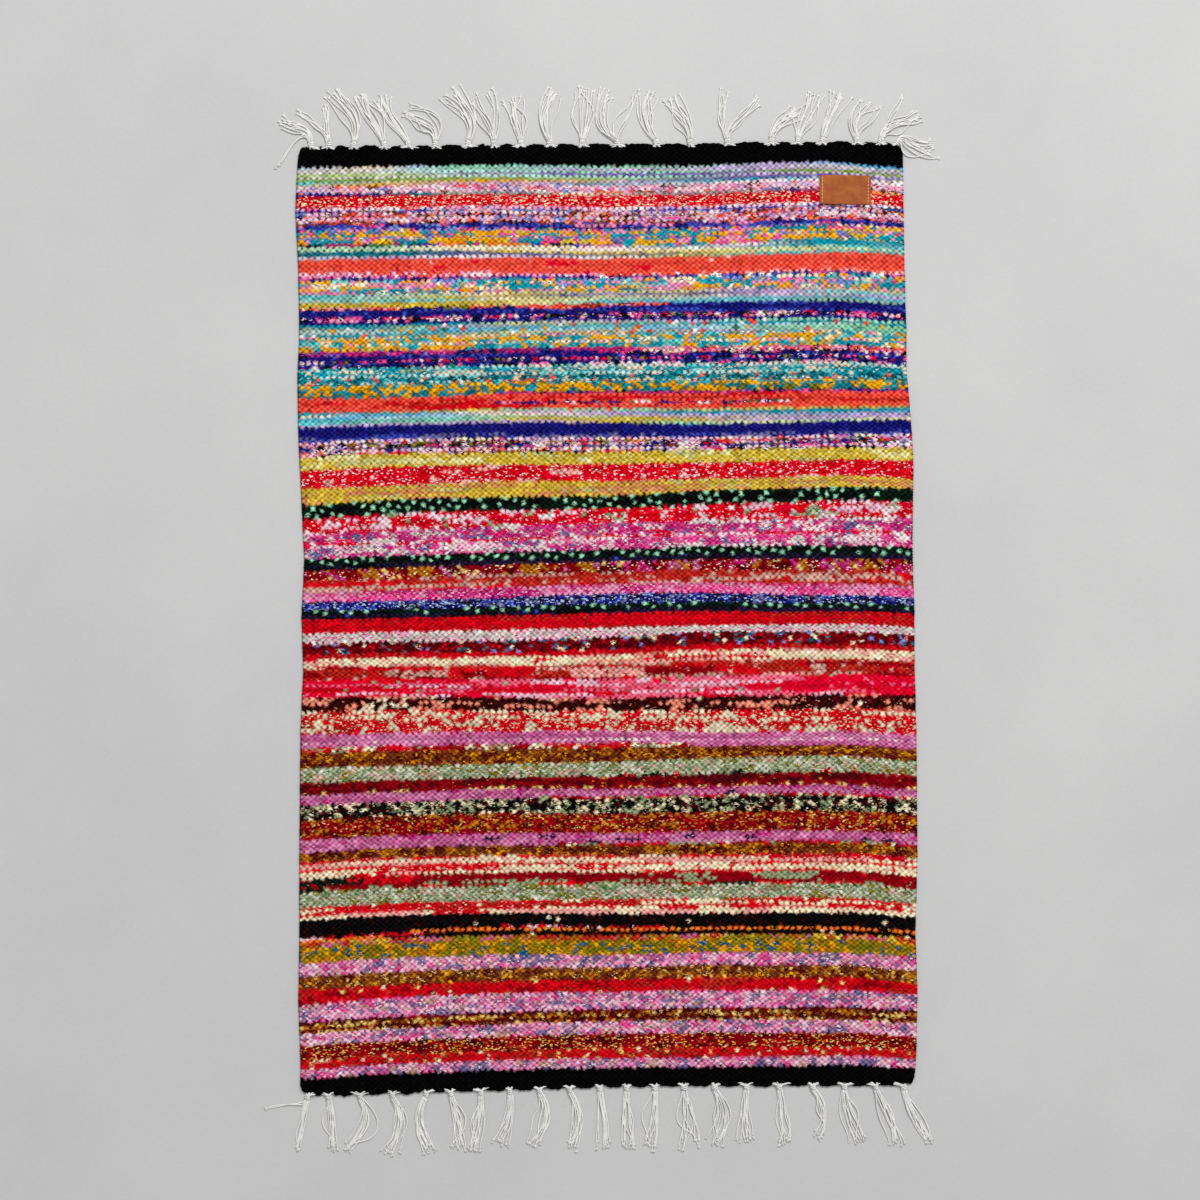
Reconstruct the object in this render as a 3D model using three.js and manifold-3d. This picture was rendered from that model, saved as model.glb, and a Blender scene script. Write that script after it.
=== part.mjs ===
// Rag rug doormat: a flat plain-woven cotton mat with a hem band at each end,
// a knotted fringe at both ends and a leather label sewn on near one corner.
// Millimetres. X runs across the mat, Y along it, Z up. The mat lies flat on Z = 0.

import * as THREE from 'three';
import { mergeVertices } from 'three/addons/utils/BufferGeometryUtils.js';
import Module from 'manifold-3d';

const wasm = await Module();
wasm.setup();

// Driving sizes of the mat: its thickness in the hems and at the rim, the dip of the seams
// between bands of weft, and the slow waves of its top face
const MAT_LENGTH = 918;
const HEM_THICK = 3.7;
const RIM_THICK = 2.7;
const RIM_WIDTH = 4;
const SEAM_DIP = 0.55;
const WAVES = { height: 0.14, acrossA: 47, alongA: 61, acrossB: 83, alongB: 38, phase: 1.3 };
const CORNER_RADIUS = 9;
const RIM_SHARES = [0, 0.0067, 0.016];
const INNER_COLUMNS = 22;

// Pieces that touch are kept this far apart
const PIECE_GAP = 0.3;

// Driving sizes of the fringe: the backing strip, the knots and the strands of yarn
const STRIP = { width: 2.6, height: 3, endInset: 4.6 };
const KNOT = { length: 8.5, width: 8.6, height: 5.4, shoulder: 0.55, crown: 0.5 };
const KNOT_STATIONS = [
  { reach: 0.16, width: 0.45, height: 0.5 },
  { reach: 0.35, width: 0.95, height: 0.9 },
  { reach: 0.65, width: 1, height: 1 },
  { reach: 1, width: 0.96, height: 0.34 },
];
const STRANDS_PER_TASSEL = 6;
const YARN = { rootPitch: 1.5, ends: 0.95, middle: 1.15, heightShare: 1.4, rootLift: 0.35 };

// How tassels lie: how much a knot turns to its tip and its bulge, where in the knot the
// strands begin, how far the curve's ends pull it, and how late the strands fan out
const LIE = { knotTurn: 0.3, bulgeTurn: 0.02, rootShare: 0.8, curvePull: 0.32, bulgePull: 1.1, fanOut: 1.3 };
const STEPS = { straight: 3, bent: 4, straightBow: 4 };

// The yarns of a tassel are cut unevenly: the ends fall short by up to twice this share
const UNEQUAL = { most: 0.06, perStrand: 2.3, perTassel: 1.7 };

// Driving sizes of the label
const LABEL = { width: 50, height: 28.5, thick: 1.4, corner: 2, bevel: 0.35 };
const LABEL_PLACE = { x: 233.5, along: 875.5, turn: -0.015 };
const LABEL_BED = 4.7;
const LABEL_BED_MARGIN = 20;
const LABEL_BED_FADE = 14;

// The two long sides wander a little: x of each side at distances from the near end
const SIDES = [
  { along: 0, left: -299.4, right: 301.3 },
  { along: 35, left: -299.4, right: 303.3 },
  { along: 93, left: -301.4, right: 304.3 },
  { along: 152, left: -300.4, right: 302.3 },
  { along: 229, left: -300.4, right: 304.3 },
  { along: 348, left: -299.4, right: 303.3 },
  { along: 406, left: -296.5, right: 301.4 },
  { along: 465, left: -298.4, right: 301.4 },
  { along: 524, left: -295.5, right: 299.4 },
  { along: 602, left: -299.4, right: 300.4 },
  { along: 641, left: -301.4, right: 298.4 },
  { along: 700, left: -302.3, right: 293.5 },
  { along: 739, left: -300.4, right: 293.5 },
  { along: 798, left: -301.4, right: 291.6 },
  { along: 857, left: -304.3, right: 290.6 },
  { along: 918, left: -301.5, right: 290 },
];

// The weft bows: how far a row stands above or below its middle at shares of the width
const BOW_SHARES = [0, 0.15, 0.3, 0.5, 0.7, 0.9, 1];
const BOWS = [
  { along: 0, edge: -9, left: -6.6, midLeft: -3.8, midRight: 1.4, right: 1.8, farEdge: 1 },
  { along: 44, edge: -12, left: -7.5, midLeft: -4.4, midRight: 0.2, right: 0.4, farEdge: -2.5 },
  { along: 160, edge: -8, left: -2.4, midLeft: -0.4, midRight: 0.8, right: 0.8, farEdge: -3.4 },
  { along: 278, edge: -7.2, left: -3.2, midLeft: 0.2, midRight: 2, right: 3.6, farEdge: 1 },
  { along: 455, edge: -7.6, left: -4.4, midLeft: -2, midRight: 2.6, right: 4.2, farEdge: 1.2 },
  { along: 631, edge: -5.4, left: -2.8, midLeft: -0.7, midRight: 0.6, right: 3, farEdge: 1.8 },
  { along: 748, edge: -4.8, left: -3.6, midLeft: -1.8, midRight: 2, right: 4, farEdge: -0.8 },
  { along: 866, edge: 0, left: -0.2, midLeft: 0.9, midRight: 0.4, right: 3.6, farEdge: 0.2 },
  { along: 918, edge: -2, left: -1.8, midLeft: -0.4, midRight: 0.6, right: 2.4, farEdge: 1.6 },
];

// Bands of weft from the near hem to the far one: where each band ends and how high it stands
const BANDS = [
  { end: 15, high: HEM_THICK },
  { end: 48, high: 4.9 },
  { end: 74, high: 4.6 },
  { end: 104, high: 5.0 },
  { end: 151, high: 4.7 },
  { end: 175, high: 4.5 },
  { end: 205, high: 4.9 },
  { end: 234, high: 4.6 },
  { end: 264, high: 5.0 },
  { end: 293, high: 4.6 },
  { end: 320, high: 4.8 },
  { end: 342, high: 4.6 },
  { end: 376, high: 5.0 },
  { end: 408, high: 4.7 },
  { end: 437, high: 4.9 },
  { end: 474, high: 4.7 },
  { end: 508, high: 4.9 },
  { end: 543, high: 4.6 },
  { end: 574, high: 5.0 },
  { end: 607, high: 4.6 },
  { end: 641, high: 4.9 },
  { end: 677, high: 4.7 },
  { end: 708, high: 5.0 },
  { end: 739, high: 4.7 },
  { end: 765, high: 4.9 },
  { end: 795, high: 4.6 },
  { end: 839, high: 4.9 },
  { end: 876, high: 4.8 },
  { end: 903, high: 4.7 },
  { end: MAT_LENGTH, high: HEM_THICK },
];

// Tassels of the near fringe. root: x of the knot. lean and out: where the tip lies from the
// knot, sideways and away from the mat. bow: sideways bulge. spread: width across the tips.
// A tassel that parts in two has forked strands with their own tip and bulge.
const NEAR_TASSELS = [
  { root: -292.5, lean: -9, out: 55, bow: -2, spread: 11, forked: 1, forkLean: -44, forkOut: 19, forkBow: 1 },
  { root: -272, lean: 4, out: 55, bow: 2, spread: 10 },
  { root: -241.5, lean: -13, out: 56, bow: 9, spread: 10 },
  { root: -210, lean: -4, out: 61, bow: 9, spread: 12 },
  { root: -176, lean: 4, out: 60, bow: -9, spread: 11 },
  { root: -152.5, lean: 8, out: 59, bow: 3, spread: 12 },
  { root: -123, lean: -6, out: 60, bow: 1, spread: 13 },
  { root: -94.5, lean: -10, out: 57, bow: 3, spread: 12 },
  { root: -66, lean: -6, out: 57, bow: 9, spread: 12 },
  { root: -36.5, lean: 2, out: 61, bow: 8, spread: 13 },
  { root: -6.5, lean: 5, out: 61, bow: 1, spread: 13 },
  { root: 20, lean: 3, out: 63, bow: -1, spread: 12 },
  { root: 47.5, lean: -5, out: 64, bow: 1, spread: 12 },
  { root: 76, lean: -2, out: 64, bow: 2, spread: 11, forked: 3, forkLean: 14, forkOut: 61, forkBow: 2 },
  { root: 105.5, lean: 1, out: 60, bow: 8, spread: 14 },
  { root: 137.5, lean: 0, out: 57, bow: -2, spread: 14 },
  { root: 169, lean: 5, out: 60, bow: 2, spread: 13 },
  { root: 201.5, lean: 6, out: 54, bow: 9, spread: 12 },
  { root: 233, lean: 14, out: 58, bow: -1, spread: 15 },
  { root: 263, lean: 21, out: 60, bow: 4, spread: 15 },
  { root: 290.5, lean: 26, out: 58, bow: 1, spread: 13 },
];

// Tassels of the far fringe, with the same columns
const FAR_TASSELS = [
  { root: -288.5, lean: -31, out: 27, bow: 3, spread: 11, forked: 1, forkLean: -36, forkOut: -19, forkBow: 6 },
  { root: -271, lean: -31, out: 37, bow: 0, spread: 10, forked: 3, forkLean: -5, forkOut: 43, forkBow: 1 },
  { root: -247.5, lean: -22, out: 57, bow: 7, spread: 11 },
  { root: -217, lean: -25, out: 52, bow: -3, spread: 12 },
  { root: -193, lean: -28, out: 51, bow: -5, spread: 10 },
  { root: -167, lean: -30, out: 36, bow: 6, spread: 12 },
  { root: -135.5, lean: -18, out: 55, bow: 8, spread: 18 },
  { root: -110, lean: -22, out: 50, bow: 1, spread: 10, forked: 3, forkLean: -4, forkOut: 56, forkBow: 6 },
  { root: -83.5, lean: -9, out: 47, bow: -1, spread: 16 },
  { root: -54.5, lean: 3, out: 55, bow: -8, spread: 13 },
  { root: -24, lean: 4, out: 58, bow: 2, spread: 21 },
  { root: 11.5, lean: -9, out: 54, bow: -12, spread: 12, forked: 2, forkLean: 15, forkOut: 48, forkBow: 5 },
  { root: 49.5, lean: -8, out: 53, bow: -8, spread: 12 },
  { root: 82, lean: -20, out: 47, bow: 2, spread: 16 },
  { root: 119, lean: -3, out: 54, bow: -4, spread: 13, forked: 3, forkLean: 29, forkOut: 46, forkBow: 1 },
  { root: 161, lean: 25, out: 34, bow: -1, spread: 11 },
  { root: 187, lean: 17, out: 49, bow: 1, spread: 11 },
  { root: 211.5, lean: 17, out: 50, bow: 1, spread: 15 },
  { root: 245.5, lean: 8, out: 43, bow: -7, spread: 12, forked: 2, forkLean: 23, forkOut: 38, forkBow: 3 },
  { root: 268, lean: 39, out: 29, bow: -1, spread: 12, forked: 2, forkLean: 23, forkOut: 50, forkBow: 1 },
  { root: 284, lean: 36, out: -3, bow: 6, spread: 15 },
];

// The two ends of the mat: where its edge is, and which way is outward
const NEAR_END = { along: 0, outward: -1 };
const FAR_END = { along: MAT_LENGTH, outward: 1 };

// Colours and finishes
const WOVEN = new THREE.MeshStandardMaterial({ color: 0x9c5560, roughness: 0.95, metalness: 0 });
const COTTON = new THREE.MeshStandardMaterial({ color: 0xe9e7e2, roughness: 0.9, metalness: 0 });
const LEATHER = new THREE.MeshStandardMaterial({ color: 0xa65a2c, roughness: 0.6, metalness: 0 });

// Straight-line interpolation in a table sorted by a key column
function lookUp(rows, key, column, at) {
  let index = 1;
  while (index < rows.length - 1 && rows[index][key] < at) index += 1;
  const before = rows[index - 1];
  const after = rows[index];
  const share = THREE.MathUtils.clamp((at - before[key]) / (after[key] - before[key]), 0, 1);
  return THREE.MathUtils.lerp(before[column], after[column], share);
}

// How far a row stands off its middle at a share of the width
function bowAt(share, along) {
  const columns = ['edge', 'left', 'midLeft', null, 'midRight', 'right', 'farEdge'];
  const points = columns.map((column, index) => ({
    share: BOW_SHARES[index],
    rise: column ? lookUp(BOWS, 'along', column, along) : 0,
  }));
  return lookUp(points, 'share', 'rise', share);
}

// The rounded corners: how far an end edge falls back at a distance from the nearer side
function cornerFall(distance) {
  if (distance >= CORNER_RADIUS) return 0;
  const run = CORNER_RADIUS - Math.max(distance, 0);
  return CORNER_RADIUS - Math.sqrt(CORNER_RADIUS ** 2 - run ** 2);
}

// A point of the mat seen from above, by its share of the width and its row
function matPoint(share, along) {
  const left = lookUp(SIDES, 'along', 'left', along);
  const right = lookUp(SIDES, 'along', 'right', along);
  const x = THREE.MathUtils.lerp(left, right, share);
  const fall = cornerFall(Math.min(x - left, right - x));
  const hemShare = Math.max(1 - Math.min(along, MAT_LENGTH - along) / BANDS[0].end, 0);
  const inward = along < MAT_LENGTH / 2 ? 1 : -1;
  return { x, y: along - MAT_LENGTH / 2 + bowAt(share, along) + inward * fall * hemShare };
}

// The line of an end edge, through the same points as the mat's own rim
function endLine(end) {
  return acrossShares().map((share) => matPoint(share, end.along));
}

function endEdgeY(end, x) {
  return lookUp(endLine(end), 'x', 'y', x);
}

// How much a point belongs to the flat bed that the label is sewn to, from 0 to 1
function labelBedShare(x, y) {
  const beyondX = Math.abs(x - LABEL_PLACE.x) - LABEL.width / 2;
  const beyondY = Math.abs(y - LABEL_PLACE.along + MAT_LENGTH / 2) - LABEL.height / 2;
  const beyond = Math.max(beyondX, beyondY) - LABEL_BED_MARGIN;
  return THREE.MathUtils.clamp(1 - beyond / LABEL_BED_FADE, 0, 1);
}

// The height of the top face: the band's own height with slow waves, pressed flat under the label
function topHeight(point, along, bandHeight, isSeam) {
  const waveA = Math.sin(point.x / WAVES.acrossA + along / WAVES.alongA);
  const waveB = Math.sin(point.x / WAVES.acrossB - along / WAVES.alongB + WAVES.phase);
  const free = bandHeight - (isSeam ? SEAM_DIP : 0) + WAVES.height * (waveA + waveB);
  return THREE.MathUtils.lerp(free, LABEL_BED, labelBedShare(point.x, point.y));
}

// Rows of the top face: a seam line between bands and a crest line in the middle of each
function weftLines() {
  const lines = [{ along: 0, high: RIM_THICK, edge: true }];
  lines.push({ along: RIM_WIDTH / 2, high: HEM_THICK, seam: false });
  let start = 0;
  BANDS.forEach((band, index) => {
    lines.push({ along: (start + band.end) / 2, high: band.high, seam: false });
    const next = BANDS[index + 1];
    if (next) lines.push({ along: band.end, high: Math.min(band.high, next.high), seam: true });
    start = band.end;
  });
  lines.push({ along: MAT_LENGTH - RIM_WIDTH / 2, high: HEM_THICK, seam: false });
  lines.push({ along: MAT_LENGTH, high: RIM_THICK, edge: true });
  return lines;
}

// Shares of the width at which the rows have points, closer together at the sides
function acrossShares() {
  const shares = [...RIM_SHARES];
  for (let column = 1; column < INNER_COLUMNS; column += 1) shares.push(column / INNER_COLUMNS);
  RIM_SHARES.toReversed().forEach((share) => shares.push(1 - share));
  return shares;
}

// The mat: a grid of rows and columns on top, the same outline flat on the floor below
function makeMat() {
  const lines = weftLines();
  const shares = acrossShares();
  const columns = shares.length;
  const positions = [];
  lines.forEach((line) => {
    shares.forEach((share, column) => {
      const point = matPoint(share, line.along);
      const atSide = column === 0 || column === columns - 1;
      const high = topHeight(point, line.along, line.high, line.seam);
      positions.push(point.x, point.y, line.edge || atSide ? RIM_THICK : high);
    });
  });
  const triangles = [];
  for (let row = 0; row < lines.length - 1; row += 1) {
    for (let column = 0; column < columns - 1; column += 1) {
      const near = row * columns + column;
      const far = near + columns;
      triangles.push(near, near + 1, far + 1, near, far + 1, far);
    }
  }
  const rim = rimIndices(lines.length, columns);
  const floorStart = positions.length / 3;
  rim.forEach((index) => positions.push(positions[3 * index], positions[3 * index + 1], 0));
  rim.forEach((index, order) => {
    const next = (order + 1) % rim.length;
    triangles.push(rim[next], index, floorStart + order);
    triangles.push(rim[next], floorStart + order, floorStart + next);
  });
  const outline = rim.map((index) => new THREE.Vector2(positions[3 * index], positions[3 * index + 1]));
  THREE.ShapeUtils.triangulateShape(outline, []).forEach(([a, b, c]) => {
    triangles.push(floorStart + a, floorStart + c, floorStart + b);
  });
  return closedGeometry(positions, triangles);
}

// The grid's rim as one loop of indices, anticlockwise seen from above
function rimIndices(rowCount, columns) {
  const loop = [];
  for (let column = 0; column < columns; column += 1) loop.push(column);
  for (let row = 1; row < rowCount; row += 1) loop.push(row * columns + columns - 1);
  for (let column = columns - 2; column >= 0; column -= 1) loop.push((rowCount - 1) * columns + column);
  for (let row = rowCount - 2; row > 0; row -= 1) loop.push(row * columns);
  return loop;
}

function closedGeometry(positions, triangles) {
  const geometry = new THREE.BufferGeometry();
  geometry.setAttribute('position', new THREE.Float32BufferAttribute(positions, 3));
  geometry.setIndex(triangles);
  return geometry;
}

// A closed body lofted through rings of points, each ring anticlockwise seen from its far end
function loft(rings) {
  const sides = rings[0].length;
  const positions = rings.flat().flatMap((point) => [point.x, point.y, point.z]);
  const triangles = [];
  for (let ring = 0; ring < rings.length - 1; ring += 1) {
    for (let side = 0; side < sides; side += 1) {
      const here = ring * sides + side;
      const beside = ring * sides + ((side + 1) % sides);
      triangles.push(here, beside, beside + sides, here, beside + sides, here + sides);
    }
  }
  const last = (rings.length - 1) * sides;
  for (let side = 1; side < sides - 1; side += 1) {
    triangles.push(0, side + 1, side);
    triangles.push(last, last + side, last + side + 1);
  }
  return closedGeometry(positions, triangles);
}

// A ring across a path on the floor: sideways offsets and heights of its corners, listed
// anticlockwise seen from the far end of the path
function floorRing(centre, direction, corners, lift = 0) {
  return corners.map(([offset, height]) => {
    const sideways = new THREE.Vector2(direction.y, -direction.x).multiplyScalar(offset);
    return new THREE.Vector3(centre.x + sideways.x, centre.y + sideways.y, height + lift);
  });
}

// The backing strip: what the knots sit on, just beyond the hem's edge
function makeStrip(end) {
  const line = endLine(end);
  const left = line[0].x + STRIP.endInset;
  const right = line[line.length - 1].x - STRIP.endInset;
  const stations = line.map((point) => point.x).filter((x) => x > left && x < right);
  const rings = [left, ...stations, right].map((x) => {
    const edge = endEdgeY(end, x) + end.outward * PIECE_GAP;
    const low = end.outward > 0 ? edge : edge - STRIP.width;
    return [
      new THREE.Vector3(x, low, 0),
      new THREE.Vector3(x, low + STRIP.width, 0),
      new THREE.Vector3(x, low + STRIP.width, STRIP.height),
      new THREE.Vector3(x, low, STRIP.height),
    ];
  });
  return loft(rings);
}

// The direction at right angles to a heading that points to the right of the mat
function rightOf(heading, end) {
  return new THREE.Vector2(heading.y, -heading.x).multiplyScalar(end.outward);
}

// Where a tassel is rooted at the strip, and the way its knot points
function tasselRoot(tassel, end) {
  const place = new THREE.Vector2(tassel.root, endEdgeY(end, tassel.root) + end.outward * PIECE_GAP);
  const outward = new THREE.Vector2(0, end.outward);
  const toTip = new THREE.Vector2(tassel.lean, end.outward * tassel.out).normalize();
  const bulge = LIE.bulgeTurn * tassel.bow;
  const heading = outward.clone().lerp(toTip, LIE.knotTurn).addScaledVector(rightOf(toTip, end), bulge);
  return { place, heading: heading.normalize() };
}

// The middle line of a tassel or of one of its forks: a cubic curve from inside the knot to the tip
function tipPath(root, tip, end) {
  const toTip = new THREE.Vector2(tip.lean, end.outward * tip.out);
  const finish = root.place.clone().add(toTip);
  const bulge = rightOf(toTip.clone().normalize(), end).multiplyScalar(LIE.bulgePull * tip.bow);
  const begin = root.place.clone().addScaledVector(root.heading, LIE.rootShare * KNOT.length);
  const leave = begin.clone().addScaledVector(root.heading, LIE.curvePull * toTip.length()).add(bulge);
  const arrive = finish.clone().addScaledVector(toTip, -LIE.curvePull).add(bulge);
  return new THREE.CubicBezierCurve(begin, leave, arrive, finish);
}

// A knot: a lumpy head, flat on the floor, widest at its middle
function makeKnot(root) {
  const rings = KNOT_STATIONS.map((station) => {
    const centre = root.place.clone().addScaledVector(root.heading, station.reach * KNOT.length);
    const wide = (station.width * KNOT.width) / 2;
    const high = station.height * KNOT.height;
    const shoulder = KNOT.shoulder * high;
    const crown = KNOT.crown * wide;
    const upper = [[-wide, shoulder], [-crown, high], [crown, high], [wide, shoulder]];
    return floorRing(centre, root.heading, [[wide, 0], [-wide, 0], ...upper]);
  });
  return loft(rings);
}

// One strand of yarn, three-sided, beside the middle line of its tassel. It leaves the knot
// just off the floor and rests on the floor from its first bend to its tip.
// Its distance from that line goes from its place in the knot to its place among the tips.
function makeStrand(path, steps, atRoot, atTip, lengthShare, end) {
  const rings = [];
  for (let step = 0; step <= steps; step += 1) {
    const share = step / steps;
    const wide = THREE.MathUtils.lerp(YARN.ends, YARN.middle, Math.sin(Math.PI * share));
    const heading = path.getTangent(Math.min(share * lengthShare, 1));
    const centre = path.getPoint(share * lengthShare);
    const aside = THREE.MathUtils.lerp(atRoot, atTip, share ** LIE.fanOut);
    centre.addScaledVector(rightOf(heading, end), aside);
    const corners = [[wide / 2, 0], [-wide / 2, 0], [0, YARN.heightShare * wide]];
    rings.push(floorRing(centre, heading, corners, step === 0 ? YARN.rootLift : 0));
  }
  return loft(rings);
}

// The strands of one tassel. Forked ones take the places on the side that they lean to.
function makeStrands(tassel, order, root, end) {
  const forked = tassel.forked ?? 0;
  const fork = { lean: tassel.forkLean, out: tassel.forkOut, bow: tassel.forkBow };
  const forkIsLeft = forked > 0 && tassel.forkLean < tassel.lean;
  const kept = STRANDS_PER_TASSEL - forked;
  const groups = forkIsLeft
    ? [{ tip: fork, count: forked }, { tip: tassel, count: kept }]
    : [{ tip: tassel, count: kept }, { tip: fork, count: forked }];
  const middle = (STRANDS_PER_TASSEL - 1) / 2;
  const tipPitch = tassel.spread / (STRANDS_PER_TASSEL - 1);
  const strands = [];
  groups.filter((group) => group.count > 0).forEach((group) => {
    const path = tipPath(root, group.tip, end);
    const steps = Math.abs(group.tip.bow) > STEPS.straightBow ? STEPS.bent : STEPS.straight;
    for (let index = 0; index < group.count; index += 1) {
      const atRoot = (strands.length - middle) * YARN.rootPitch;
      const atTip = (index - (group.count - 1) / 2) * tipPitch;
      const turn = UNEQUAL.perStrand * index + UNEQUAL.perTassel * order;
      const lengthShare = 1 - UNEQUAL.most * (1 + Math.sin(turn));
      strands.push(makeStrand(path, steps, atRoot, atTip, lengthShare, end));
    }
  });
  return strands;
}

// A fringe: the strip, the knots and the strands, joined into one body
function makeFringe(end, tassels) {
  const bodies = [makeStrip(end)];
  tassels.forEach((tassel, order) => {
    const root = tasselRoot(tassel, end);
    bodies.push(makeKnot(root), ...makeStrands(tassel, order, root, end));
  });
  return joined(bodies);
}

// Joins closed bodies that overlap into one
function joined(geometries) {
  const solids = geometries.map(toManifold);
  const whole = solids.slice(1).reduce((sum, solid) => sum.add(solid), solids[0]);
  const mesh = whole.getMesh();
  return closedGeometry(Array.from(mesh.vertProperties), Array.from(mesh.triVerts));
}

function toManifold(geometry) {
  const mesh = new wasm.Mesh({
    numProp: 3,
    vertProperties: new Float32Array(geometry.attributes.position.array),
    triVerts: new Uint32Array(geometry.index.array),
  });
  return new wasm.Manifold(mesh);
}

// The leather label: a rounded rectangle with softened edges, lying on its bed on the mat
function makeLabel() {
  const { width, height, thick, corner, bevel } = LABEL;
  const halfWidth = width / 2 - bevel;
  const halfHeight = height / 2 - bevel;
  const outline = new THREE.Shape();
  outline.moveTo(-halfWidth + corner, -halfHeight);
  outline.lineTo(halfWidth - corner, -halfHeight);
  outline.absarc(halfWidth - corner, -halfHeight + corner, corner, -Math.PI / 2, 0);
  outline.absarc(halfWidth - corner, halfHeight - corner, corner, 0, Math.PI / 2);
  outline.absarc(-halfWidth + corner, halfHeight - corner, corner, Math.PI / 2, Math.PI);
  outline.absarc(-halfWidth + corner, -halfHeight + corner, corner, Math.PI, 1.5 * Math.PI);
  const geometry = new THREE.ExtrudeGeometry(outline, {
    depth: thick - 2 * bevel,
    bevelEnabled: true,
    bevelSize: bevel,
    bevelThickness: bevel,
    bevelSegments: 1,
    curveSegments: 3,
  });
  geometry.deleteAttribute('normal');
  geometry.deleteAttribute('uv');
  geometry.translate(0, 0, bevel);
  geometry.rotateZ(LABEL_PLACE.turn);
  geometry.translate(LABEL_PLACE.x, LABEL_PLACE.along - MAT_LENGTH / 2, LABEL_BED + PIECE_GAP);
  return mergeVertices(geometry, 1e-4);
}

function named(name, geometry, material) {
  const mesh = new THREE.Mesh(geometry, material);
  mesh.name = name;
  return mesh;
}

const rug = new THREE.Group();
rug.add(named('mat', makeMat(), WOVEN));
rug.add(named('fringe_near', makeFringe(NEAR_END, NEAR_TASSELS), COTTON));
rug.add(named('fringe_far', makeFringe(FAR_END, FAR_TASSELS), COTTON));
rug.add(named('label', makeLabel(), LEATHER));

// The origin is on the floor, under the middle of everything
const reach = new THREE.Box3().setFromObject(rug);
const middle = reach.getCenter(new THREE.Vector3());
rug.children.forEach((mesh) => mesh.geometry.translate(-middle.x, -middle.y, 0));

export default rug;
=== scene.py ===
"""A flat-woven rag rug doormat: a weft-faced cotton weave of many-coloured yarns with a near-black
hem at each end, a knotted fringe of undyed cotton at both ends, and a bare leather label.

X runs across the mat, Y along it towards the end with the label, Z up. Sizes in the tables are
millimetres; they become metres where a mesh is made. Rows of weft are counted from the near end.
"""
import math
from itertools import zip_longest

import bpy
import numpy as np
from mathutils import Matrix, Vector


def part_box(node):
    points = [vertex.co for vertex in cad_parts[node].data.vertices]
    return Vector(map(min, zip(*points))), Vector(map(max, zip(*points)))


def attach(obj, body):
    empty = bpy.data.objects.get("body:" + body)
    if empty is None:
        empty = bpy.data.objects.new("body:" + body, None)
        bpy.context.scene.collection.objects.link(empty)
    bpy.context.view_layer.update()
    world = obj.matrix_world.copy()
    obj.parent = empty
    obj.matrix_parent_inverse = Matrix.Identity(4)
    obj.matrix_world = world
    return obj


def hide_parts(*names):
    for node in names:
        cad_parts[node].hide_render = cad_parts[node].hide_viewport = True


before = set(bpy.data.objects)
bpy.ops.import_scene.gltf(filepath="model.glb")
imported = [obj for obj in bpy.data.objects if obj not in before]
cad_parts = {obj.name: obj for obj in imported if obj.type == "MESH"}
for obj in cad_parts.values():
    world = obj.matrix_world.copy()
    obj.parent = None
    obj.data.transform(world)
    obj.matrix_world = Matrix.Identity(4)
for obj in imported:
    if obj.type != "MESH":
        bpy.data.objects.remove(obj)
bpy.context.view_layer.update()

MM = 0.001
SEED = 20


def table(columns, *rows):
    """A table of numbers with named columns, one array for each. What a row leaves out is zero."""
    lines = zip_longest(*rows, fillvalue=0)
    return {name: np.array(values, float) for name, values in zip(columns.split(), lines)}


def yarn_book(text):
    """Yarns from lines such as "name: mix red 20 crimson 3; run 40; fleck cream 0.14"."""
    book = {}
    for line in text.strip().splitlines():
        name, said = line.split(": ")
        yarn = dict(part.split(maxsplit=1) for part in said.split(";"))
        for key in {"run", "loose"} & set(yarn):
            yarn[key] = float(yarn[key])
        book[name] = yarn
    return book


def weaving_plan(text):
    """Rows, yarns and where each yarn starts, from words such as "1 navy 0.4 sunset, 2 navy"."""
    plan = []
    for entry in text.split(","):
        words = entry.split()
        starts = [0.0, *(float(word) for word in words[2::2])]
        plan.append((int(words[0]), words[1::2], starts))
    return plan


# Driving sizes of the cloth
MAT_LENGTH = 918
WARPS = 194
ROWS = 384
NEAR_HEM_ROWS = 7
FAR_HEM_ROWS = 8
CLOTH_PIECES = 4
HEM_THICK = 3.7
SIDE_THICK = 2.3
SIDE_ROUNDING = 4.5
SIDE_BULGE = {"depth": 0.55, "uneven": 0.6}
UNDERSIDE_INSET = 0.8
SEAM_DIP = 0.55
CORNER_RADIUS = 9
WAVES = {"height": 0.14, "across_a": 47, "along_a": 61, "across_b": 83, "along_b": 38, "phase": 1.3}

# One float of weft over a warp, in warps and in rows, and how deep the cloth sinks between floats.
# A float and the space beside it take two warps. The underside has every COARSE-th point of the top.
FLOAT = {"half_length": 1.12, "half_width": 1.15, "depth": 1.9, "rise": 0.3, "hem_depth": 1.0}
UNEVEN = {"along_row": 0.14, "across_rows": 0.1, "height": 0.05}
FLOAT_PITCH = 2
STEPS_PER_CROSSING = 2
COARSE = 4
TINY = 1e-9

# The two long sides wander a little: x of each side at distances from the near end
SIDES = table(
    "along left right",
    (0, -299.4, 301.3),
    (35, -299.4, 303.3),
    (93, -301.4, 304.3),
    (152, -300.4, 302.3),
    (229, -300.4, 304.3),
    (348, -299.4, 303.3),
    (406, -296.5, 301.4),
    (465, -298.4, 301.4),
    (524, -295.5, 299.4),
    (602, -299.4, 300.4),
    (641, -301.4, 298.4),
    (700, -302.3, 293.5),
    (739, -300.4, 293.5),
    (798, -301.4, 291.6),
    (857, -304.3, 290.6),
    (918, -301.5, 290),
)

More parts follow.
